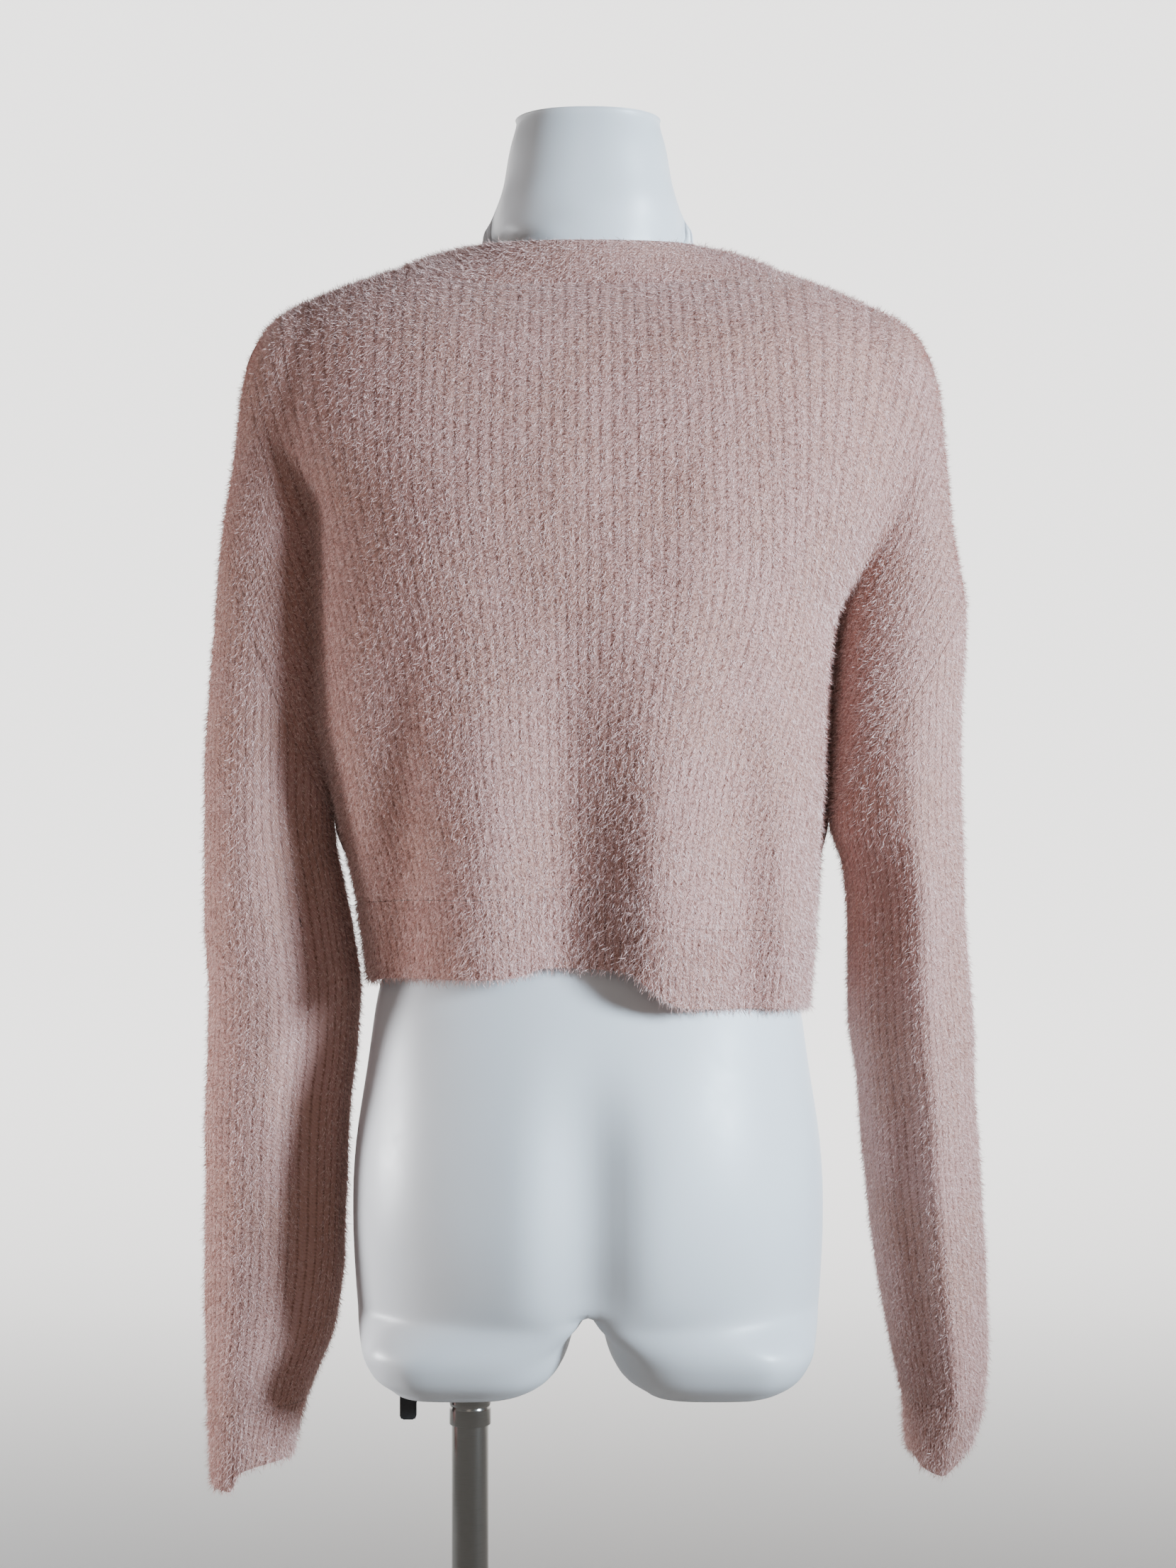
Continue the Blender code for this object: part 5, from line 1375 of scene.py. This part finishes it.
def rounded(profile, radius, steps=4):
    """The profile with each of its sharp corners (but the ends on the axis) rounded."""
    made = []
    count = len(profile)
    for n, corner in enumerate(profile):
        corner = np.array(corner, float)
        before = np.array(profile[n - 1], float)
        after = np.array(profile[(n + 1) % count], float)
        if corner[0] == 0:
            made.append(tuple(corner))
            continue
        sides = [np.linalg.norm(end - corner) / CORNER_LIMIT for end in (before, after)]
        reach = min(radius, *sides)
        start = corner + unit(before - corner) * reach
        stop = corner + unit(after - corner) * reach
        for t in np.linspace(0, 1, steps + 1):
            made.append(tuple((1 - t) ** 2 * start + 2 * t * (1 - t) * corner + t * t * stop))
    return made


def button_disc(finish):
    """A dished button with a rolled rim and four holes, lying flat with its middle at the origin."""
    r, t = BUTTON_DIAMETER / 2, BUTTON_THICKNESS
    profile = [
        (0, -t / 2),
        (r * 0.86, -t / 2),
        (r, 0.1),
        (r * 0.88, t / 2),
        (r * 0.66, t * BUTTON_DISH),
        (0, t * 0.1),
    ]
    disc = turned("button_disc", rounded(profile, BUTTON_ROUNDING), BUTTON_SIDES, finish)
    shape = bmesh.new()
    for k in range(4):
        turn = math.pi / 4 + k * math.pi / 2
        spot = Matrix.Translation((HOLE_SPREAD * math.cos(turn) * MM, HOLE_SPREAD * math.sin(turn) * MM, 0))
        hole = HOLE_DIAMETER / 2 * MM
        sizes = {"radius1": hole, "radius2": hole, "depth": DRILL_DEPTH * MM}
        bmesh.ops.create_cone(shape, cap_ends=True, segments=HOLE_SIDES, matrix=spot, **sizes)
    drill = linked("button_drill", mesh_of("button_drill", shape))
    cut = disc.modifiers.new("Holes", "BOOLEAN")
    cut.operation = "DIFFERENCE"
    cut.solver = "EXACT"
    cut.object = drill
    mesh = worked_out(disc)
    for spare in (disc, drill):
        bpy.data.objects.remove(spare)
    return mesh


def thread_mesh():
    """Two short runs of thread over a button, from hole to hole."""
    shape = bmesh.new()
    reach = HOLE_SPREAD * math.sqrt(0.5)
    for row in (-1, 1):
        rings = []
        for k in range(THREAD_STEPS + 1):
            t = k / THREAD_STEPS * 2 - 1
            height = BUTTON_DISH * BUTTON_THICKNESS + THREAD_RISE * (1 - t * t) - THREAD_DIVE * t**6
            middle = Vector((reach * t, reach * row, height))
            tilt = math.atan2(-2 * THREAD_RISE * t - 6 * THREAD_DIVE * t**5, reach)
            ring = []
            for n in range(THREAD_SIDES):
                turn = 2 * math.pi * n / THREAD_SIDES
                up = math.sin(turn)
                off = Vector((-math.sin(tilt) * up, math.cos(turn), math.cos(tilt) * up))
                ring.append(shape.verts.new((middle + off * THREAD_DIAMETER / 2) * MM))
            rings.append(ring)
        for first, second in zip(rings, rings[1:]):
            for n in range(THREAD_SIDES):
                n1 = (n + 1) % THREAD_SIDES
                shape.faces.new((first[n], first[n1], second[n1], second[n]))
        shape.faces.new(rings[0])
        shape.faces.new(rings[-1])
    return mesh_of("thread", shape)


def build_buttons(band, normals, resin, yarn):
    middle = BAND_COLUMNS // 2
    disc, thread = button_disc(resin), thread_mesh()
    for n in range(BUTTONS):
        height = FIRST_BUTTON_HEIGHT + (LAST_BUTTON_HEIGHT - FIRST_BUTTON_HEIGHT) * n / (BUTTONS - 1)
        rising = band[middle, :, 2]
        spot, out = (Vector(placed_on(grid[middle], rising, height)) for grid in (band, normals))
        out.normalize()
        spot += out * (SEAM_GAP + BUTTON_THICKNESS / 2 + BUTTON_LIFT)
        along = out.cross(Vector((0, 0, 1))).normalized()
        upright = Matrix((along, out.cross(along) * -1, out)).transposed().to_4x4()
        upright = Matrix.Translation(spot * MM) @ upright
        for mesh, name, finish, slot, nodes in (
            (disc, f"resin_button_{n + 1}", resin, "pink_resin", (f"button_{n + 1}",)),
            (thread, f"button_thread_{n + 1}", yarn, "pink_knit", ()),
        ):
            own = mesh.copy()
            own.transform(upright)
            place(finished(name, own, finish, sharp=40.0), slot, *nodes)


def corners_of(mesh, count):
    """The places of the mesh's first points."""
    flat = np.empty(len(mesh.vertices) * 3, np.float32)
    mesh.vertices.foreach_get("co", flat)
    return flat.reshape(-1, 3)[:count].copy()


def copied_form(finish):
    """The form's own solid, with its facets joined into quads and rounded."""
    mesh = frame["nodes"]["dress_form"].data.copy()
    shape = bmesh.new()
    shape.from_mesh(mesh)
    bmesh.ops.remove_doubles(shape, verts=shape.verts, dist=FORM_MERGE)
    limits = {
        "angle_face_threshold": math.radians(JOIN_FACES),
        "angle_shape_threshold": math.radians(JOIN_SHAPES),
    }
    bmesh.ops.join_triangles(shape, faces=shape.faces, **limits)
    shape.to_mesh(mesh)
    shape.free()
    obj = finished("form_shell", mesh, finish, sharp=80.0)
    rounding = obj.modifiers.new("Rounding", "SUBSURF")
    rounding.levels = rounding.render_levels = 2
    count = len(obj.data.vertices)
    solid = corners_of(obj.data, count)
    cage = solid.copy()
    for _ in range(FORM_FITTING):
        cage += solid - corners_of(worked_out(obj), count)
        obj.data.vertices.foreach_set("co", cage.ravel())
        obj.data.update()
    obj.data = worked_out(obj)
    obj.modifiers.clear()
    obj.data.shade_smooth()
    return place(obj, "white_plastic", "dress_form")


def build_stand(chrome, black):
    r, top = BASE_DIAMETER / 2, BASE_THICKNESS
    pole_r, flange, collar = POLE_DIAMETER / 2, FLANGE_DIAMETER / 2, COLLAR_DIAMETER / 2
    foot, head = top + SEAM_GAP, FORM_FOOT_HEIGHT - SEAM_GAP
    bore = pole_r + SEAM_GAP
    plate = [(0, 0), (r, 0), (r, top), (0, top)]
    tube = [(0, foot), (pole_r, foot), (pole_r, head), (0, head)]
    socket = [
        (bore, foot),
        (flange, foot),
        (flange, foot + 2.5),
        (bore + 6, foot + 5),
        (bore + 3.5, foot + 8),
        (bore + 3.5, foot + FLANGE_HEIGHT),
        (bore, foot + FLANGE_HEIGHT),
    ]
    ring = [
        (bore, head - COLLAR_HEIGHT),
        (collar, head - COLLAR_HEIGHT),
        (collar, head - COLLAR_HEIGHT * 0.56),
        (collar - 0.5, head - COLLAR_HEIGHT * 0.5),
        (collar, head - COLLAR_HEIGHT * 0.44),
        (collar, head),
        (bore, head),
    ]
    for name, node, profile, corner, sides, middle in (
        ("round_base", "base_plate", plate, 1.8, BASE_SIDES, (0.0, 0.0)),
        ("upright_tube", "pole", tube, 0.8, STAND_SIDES, (POLE_X, POLE_Y)),
        ("foot_flange", "base_flange", socket, 1.2, STAND_SIDES, (POLE_X, POLE_Y)),
        ("top_collar", "pole_collar", ring, 0.5, STAND_SIDES, (POLE_X, POLE_Y)),
    ):
        place(turned(name, rounded(profile, corner), sides, chrome, *middle), "chromed_steel", node)
    build_lever(head, collar, black)


def build_lever(head, collar, black):
    """The clamp's arm, with its turned-down tab and rounded edges."""
    near = POLE_X + collar + SEAM_GAP
    far, tab = near + LEVER_LENGTH, near + LEVER_LENGTH - LEVER_TAB
    drops = (LEVER_ARM_TOP, LEVER_ARM_FOOT, LEVER_TAB_FOOT)
    arm_top, arm_foot, tab_foot = (head - drop for drop in drops)
    outline = (
        (near, arm_foot),
        (tab - LEVER_CORNER, arm_foot),
        (tab, arm_foot - LEVER_CORNER),
        (tab, tab_foot + LEVER_CORNER),
        (tab + LEVER_CORNER, tab_foot),
        (far - LEVER_CORNER, tab_foot),
        (far, tab_foot + LEVER_CORNER),
        (far, arm_top - LEVER_CORNER),
        (far - LEVER_CORNER, arm_top),
        (near, arm_top),
    )
    shape = bmesh.new()
    side = (POLE_Y - LEVER_WIDTH / 2) * MM
    face = shape.faces.new([shape.verts.new((x * MM, side, z * MM)) for x, z in outline])
    pushed = bmesh.ops.extrude_face_region(shape, geom=[face])
    moved = [part for part in pushed["geom"] if isinstance(part, bmesh.types.BMVert)]
    bmesh.ops.translate(shape, verts=moved, vec=(0, LEVER_WIDTH * MM, 0))
    edge = {"offset": LEVER_EDGE * MM, "segments": 3, "affect": "EDGES", "clamp_overlap": True}
    bmesh.ops.bevel(shape, geom=shape.edges[:], **edge)
    arm = finished("lever_arm", mesh_of("lever_arm", shape), black, sharp=40.0)
    place(arm, "black_plastic", "clamp_lever")


# Stage


def floor_material(settings):
    """Pale matt board that gives some light, more of it far behind the stand."""
    material, nodes = new_material("stage_floor", 0.9)
    where = nodes.where()
    tone = nodes.between(nodes.noise(where, 1.5, 2.0), 0.2, 0.8)
    behind = nodes.between(nodes.add("ShaderNodeSeparateXYZ", where).outputs[1], GLOW_FROM, GLOW_TO)
    more = settings.back_glow - settings.floor_glow
    nodes.shade(
        {
            "Base Color": nodes.mix(tone, rgba(settings.floor_colour, 0.985), rgba(settings.floor_colour)),
            "Specular IOR Level": 0.1,
            "Emission Color": (1.0, 0.98, 0.96, 1.0),
            "Emission Strength": nodes.math("MULTIPLY_ADD", behind, more, settings.floor_glow),
        }
    )
    return material


def build_floor(finish):
    """A round floor whose rim rises all round."""
    profile = [(FLOOR_RADIUS * k / FLOOR_RINGS, 0.0) for k in range(1, FLOOR_RINGS + 1)]
    for k in range(1, RIM_RINGS + 1):
        turn = math.pi / 2 * k / RIM_RINGS
        profile.append((FLOOR_RADIUS + RIM_RISE * math.sin(turn), RIM_RISE * (1 - math.cos(turn))))
    turns = [2 * math.pi * k / FLOOR_SIDES for k in range(FLOOR_SIDES)]
    points = [(0.0, 0.0, 0.0)]
    points += [(r * math.cos(turn), r * math.sin(turn), height) for r, height in profile for turn in turns]
    pairs = [(k, (k + 1) % FLOOR_SIDES) for k in range(FLOOR_SIDES)]
    faces = [(0, 1 + k, 1 + after) for k, after in pairs]
    for a in range(1, len(points) - FLOOR_SIDES, FLOOR_SIDES):
        b = a + FLOOR_SIDES
        faces += [(a + k, b + k, b + after, a + after) for k, after in pairs]
    mesh = drawn("studio_floor", points, faces)
    mesh.shade_smooth()
    mesh.materials.append(finish)
    floor = linked("studio_floor", mesh)
    floor.location.z = -FLOOR_DROP


def build_stage(settings):
    """The floor, a cool key light, a side light and a weak warm fill, faint air light and the camera."""
    build_floor(floor_material(settings))
    for word, (at, target, size, spread) in LIGHTS.items():
        light = bpy.data.lights.new(f"{word}_light", "AREA")
        light.shape = "DISK"
        light.size = size
        light.energy = getattr(settings, f"{word}_power")
        light.color = getattr(settings, f"{word}_colour")
        light.spread = math.radians(spread)
        obj = linked(f"{word}_light", light)
        obj.location = at
        obj.rotation_euler = (Vector(target) - Vector(at)).to_track_quat("-Z", "Y").to_euler()

    world = bpy.data.worlds.new("studio_air")
    world.use_nodes = True
    sky = world.node_tree.nodes["Background"]
    sky.inputs["Color"].default_value = AIR_COLOUR
    sky.inputs["Strength"].default_value = settings.sky_strength
    bpy.context.scene.world = world

    camera = bpy.data.cameras.new("back_view")
    camera.sensor_width = SENSOR
    camera.lens = LENS
    camera.clip_end = VIEW_REACH
    obj = linked("back_view", camera)
    obj.location = (0.0, CAMERA_DISTANCE, CAMERA_HEIGHT)
    obj.rotation_euler = (math.pi / 2, 0.0, math.pi)
    bpy.context.scene.camera = obj


# Settings and operators


def colour(name, value, text):
    return FloatVectorProperty(
        name=name, description=text, default=value, size=3, min=0.0, max=1.0, subtype="COLOR"
    )


def number(name, value, text, low=0.0, **more):
    return FloatProperty(name=name, description=text, default=value, min=low, **more)


def distance(name, value, text):
    return number(name, value, text, unit="LENGTH", precision=5)


def power(name, value, text):
    return number(name, value, text, unit="POWER")


class KnitSettings(bpy.types.PropertyGroup):
    rib_height: distance("Rib height", 0.0005, "How far a rib's crest stands above its grooves")
    crest: colour("Crest", (0.50, 0.282, 0.246), "Yarn on the crests")
    crest_warm: colour("Warm crest", (0.47, 0.258, 0.21), "Yarn on the crests in the warmer patches")
    # Painted shade: these groove colours are the yarn darkened for the grooves between ribs and the gaps
    # between stitches.
    groove: colour("Groove", (0.17, 0.066, 0.047), "Yarn down in the grooves")
    cool_groove_shade: colour("Cool groove", (0.17, 0.079, 0.067), "Yarn in the grooves in the cooler patches")


class FibreSettings(bpy.types.PropertyGroup):
    fibre: colour("Fibre", (0.90, 0.66, 0.625), "Colour of the palest hairs")
    hairs: number("Density", 585000.0, "Hairs on a square metre of a panel", low=1000.0)
    hair_length: distance("Length", 0.0044, "Length of a common hair")
    hair_thickness: distance("Thickness", 0.00030, "Width of a tuft of hairs at its root")
    hair_stand_off: number("Stand-off", 0.45, "How steeply the hairs leave the cloth")
    seed: IntProperty(name="Seed", description="Changes where the hairs lie", default=7, min=0)


class StandSettings(bpy.types.PropertyGroup):
    plastic: colour("Form", (0.70, 0.71, 0.73), "The form's moulded plastic")
    chrome: colour("Chrome", (0.34, 0.33, 0.31), "The pole, collar and base")
    lever: colour("Lever", (0.018, 0.018, 0.019), "The clamp's lever")
    resin: colour("Buttons", (0.72, 0.52, 0.50), "The buttons' resin")


class StageSettings(bpy.types.PropertyGroup):
    floor_colour: colour("Floor", (0.70, 0.71, 0.72), "The floor and its rising rim")
    floor_glow: number("Glow", 0.05, "Light given by the floor")
    back_glow: number("Backdrop", 2.3, "Light given by the rim behind the stand")
    key_power: power("Key light", 15.0, "Power of the key light")
    key_colour: colour("Key colour", (0.69, 0.855, 1.0), "Colour of the key light")
    side_power: power("Side light", 4.0, "Power of the light beside the stand")
    side_colour: colour("Side colour", (0.94, 0.96, 1.0), "Colour of the light beside the stand")
    fill_power: power("Fill light", 1.0, "Power of the fill light")
    fill_colour: colour("Fill colour", (1.0, 0.86, 0.76), "Colour of the fill light")
    sky_strength: number("Air", 0.07, "Strength of the light all round")


# How much painted shade darkens each knit's grooves between its ribs and its gaps between stitches.
KNITS = {
    "brushed_rib_knit": (0.45, 0.25),
    "brushed_fine_rib": (0.6, 0.25),
    "brushed_plain_knit": (0.35, 0.35),
}


def yarn_of(name):
    found = bpy.data.materials.get(name)
    return found or knit_material(name, bpy.context.scene.cardigan_knit, *KNITS[name])


def rib_knit():
    return yarn_of("brushed_rib_knit")


def fine_rib_knit():
    return yarn_of("brushed_fine_rib")


def plain_knit():
    return yarn_of("brushed_plain_knit")


class CardiganOperator:
    bl_options = {"REGISTER", "UNDO"}

    def execute(self, context):
        self.build(context.scene)
        return {"FINISHED"}


class CARDIGAN_OT_back(CardiganOperator, bpy.types.Operator):
    """Builds the back and the band behind the neck"""

    bl_idname = "cardigan.back"
    bl_label = "Back"

    def build(self, scene):
        piece, seams = build_back(rib_knit(), scene.cardigan_knit)
        declare(piece, "back")
        declare(build_neckband(seams, plain_knit()), "neckband")


class CARDIGAN_OT_fronts(CardiganOperator, bpy.types.Operator):
    """Builds both fronts with their hems, bands and buttons"""

    bl_idname = "cardigan.fronts"
    bl_label = "Fronts"

    def build(self, scene):
        settings = scene.cardigan_knit
        for side, word in SIDES:
            front, edges = build_front(side, f"knit_front_{word}", rib_knit(), settings)
            declare(front, f"front_{word}")
            hem, hem_edges = build_front_hem(side, f"knit_hem_front_{word}", fine_rib_knit(), settings)
            declare(hem, f"hem_front_{word}")
            band, outer, normals = build_front_band(
                side, f"knit_front_band_{word}", edges, hem_edges, plain_knit()
            )
            declare(band, f"front_band_{word}")
            if side < 0:
                build_buttons(outer, normals, button_material(scene.cardigan_stand.resin), plain_knit())


class CARDIGAN_OT_sleeves(CardiganOperator, bpy.types.Operator):
    """Builds both sleeves and their cuffs"""

    bl_idname = "cardigan.sleeves"
    bl_label = "Sleeves"

    def build(self, scene):
        settings = scene.cardigan_knit
        for side, word in SIDES:
            declare(build_sleeve(side, f"knit_sleeve_{word}", rib_knit(), settings), f"sleeve_{word}")
            declare(build_cuff(side, f"knit_cuff_{word}", fine_rib_knit(), settings), f"cuff_{word}")


class CARDIGAN_OT_back_hem(CardiganOperator, bpy.types.Operator):
    """Builds the hem band behind"""

    bl_idname = "cardigan.back_hem"
    bl_label = "Back hem"

    def build(self, scene):
        declare(build_back_hem(fine_rib_knit(), scene.cardigan_knit), "hem_back")


class CARDIGAN_OT_fibres(CardiganOperator, bpy.types.Operator):
    """Brushes up the hairs on every knitted piece"""

    bl_idname = "cardigan.fibres"
    bl_label = "Brushed fibres"

    def build(self, scene):
        settings = scene.cardigan_fibres
        finish = fibre_material(settings, scene.cardigan_knit)
        shapes = fibre_shapes()
        tree = fibre_tree(shapes, finish)
        seed = settings.seed
        for node, row in CLOTH.items():
            cloth = bpy.data.objects["knit_" + node]
            for coat in range(row["coats"]):
                seed += 1
                grow_fibres(cloth, coat, tree, settings, seed, row)
        bpy.data.node_groups.remove(tree)
        for shape in list(shapes.objects):
            mesh = shape.data
            bpy.data.objects.remove(shape)
            bpy.data.meshes.remove(mesh)
        bpy.data.collections.remove(shapes)


class CARDIGAN_OT_form(CardiganOperator, bpy.types.Operator):
    """Builds the dress form and its stand"""

    bl_idname = "cardigan.form"
    bl_label = "Form and stand"

    def build(self, scene):
        settings = scene.cardigan_stand
        copied_form(plastic_material(settings.plastic))
        build_stand(chrome_material(settings.chrome), lever_material(settings.lever))


class CARDIGAN_OT_stage(CardiganOperator, bpy.types.Operator):
    """Sets the floor, the lights and the camera"""

    bl_idname = "cardigan.stage"
    bl_label = "Stage"

    def build(self, scene):
        build_stage(scene.cardigan_stage)


OPERATORS = (
    CARDIGAN_OT_back,
    CARDIGAN_OT_fronts,
    CARDIGAN_OT_sleeves,
    CARDIGAN_OT_back_hem,
    CARDIGAN_OT_fibres,
    CARDIGAN_OT_form,
    CARDIGAN_OT_stage,
)
SETTINGS = {
    "cardigan_knit": KnitSettings,
    "cardigan_fibres": FibreSettings,
    "cardigan_stand": StandSettings,
    "cardigan_stage": StageSettings,
}


class CARDIGAN_PT_panel(bpy.types.Panel):
    """Lists the cardigan's settings and pieces"""

    bl_idname = "CARDIGAN_PT_panel"
    bl_label = "Cardigan"
    bl_space_type = "VIEW_3D"
    bl_region_type = "UI"
    bl_category = "Cardigan"

    def draw(self, context):
        for name, group in SETTINGS.items():
            box = self.layout.box()
            for setting in group.__annotations__:
                box.prop(getattr(context.scene, name), setting)
        for operator in OPERATORS:
            self.layout.operator(operator.bl_idname)


def register():
    for group in SETTINGS.values():
        bpy.utils.register_class(group)
    for name, group in SETTINGS.items():
        setattr(bpy.types.Scene, name, PointerProperty(type=group))
    for operator in (*OPERATORS, CARDIGAN_PT_panel):
        bpy.utils.register_class(operator)


def unregister():
    for operator in (CARDIGAN_PT_panel, *reversed(OPERATORS)):
        bpy.utils.unregister_class(operator)
    for name, group in SETTINGS.items():
        delattr(bpy.types.Scene, name)
        bpy.utils.unregister_class(group)


def main():
    register()
    bpy.ops.cardigan.back()
    bpy.ops.cardigan.back_hem()
    bpy.ops.cardigan.fronts()
    bpy.ops.cardigan.sleeves()
    bpy.ops.cardigan.fibres()
    bpy.ops.cardigan.form()
    bpy.ops.cardigan.stage()
    bpy.context.view_layer.update()


if __name__ == "__main__":
    main()
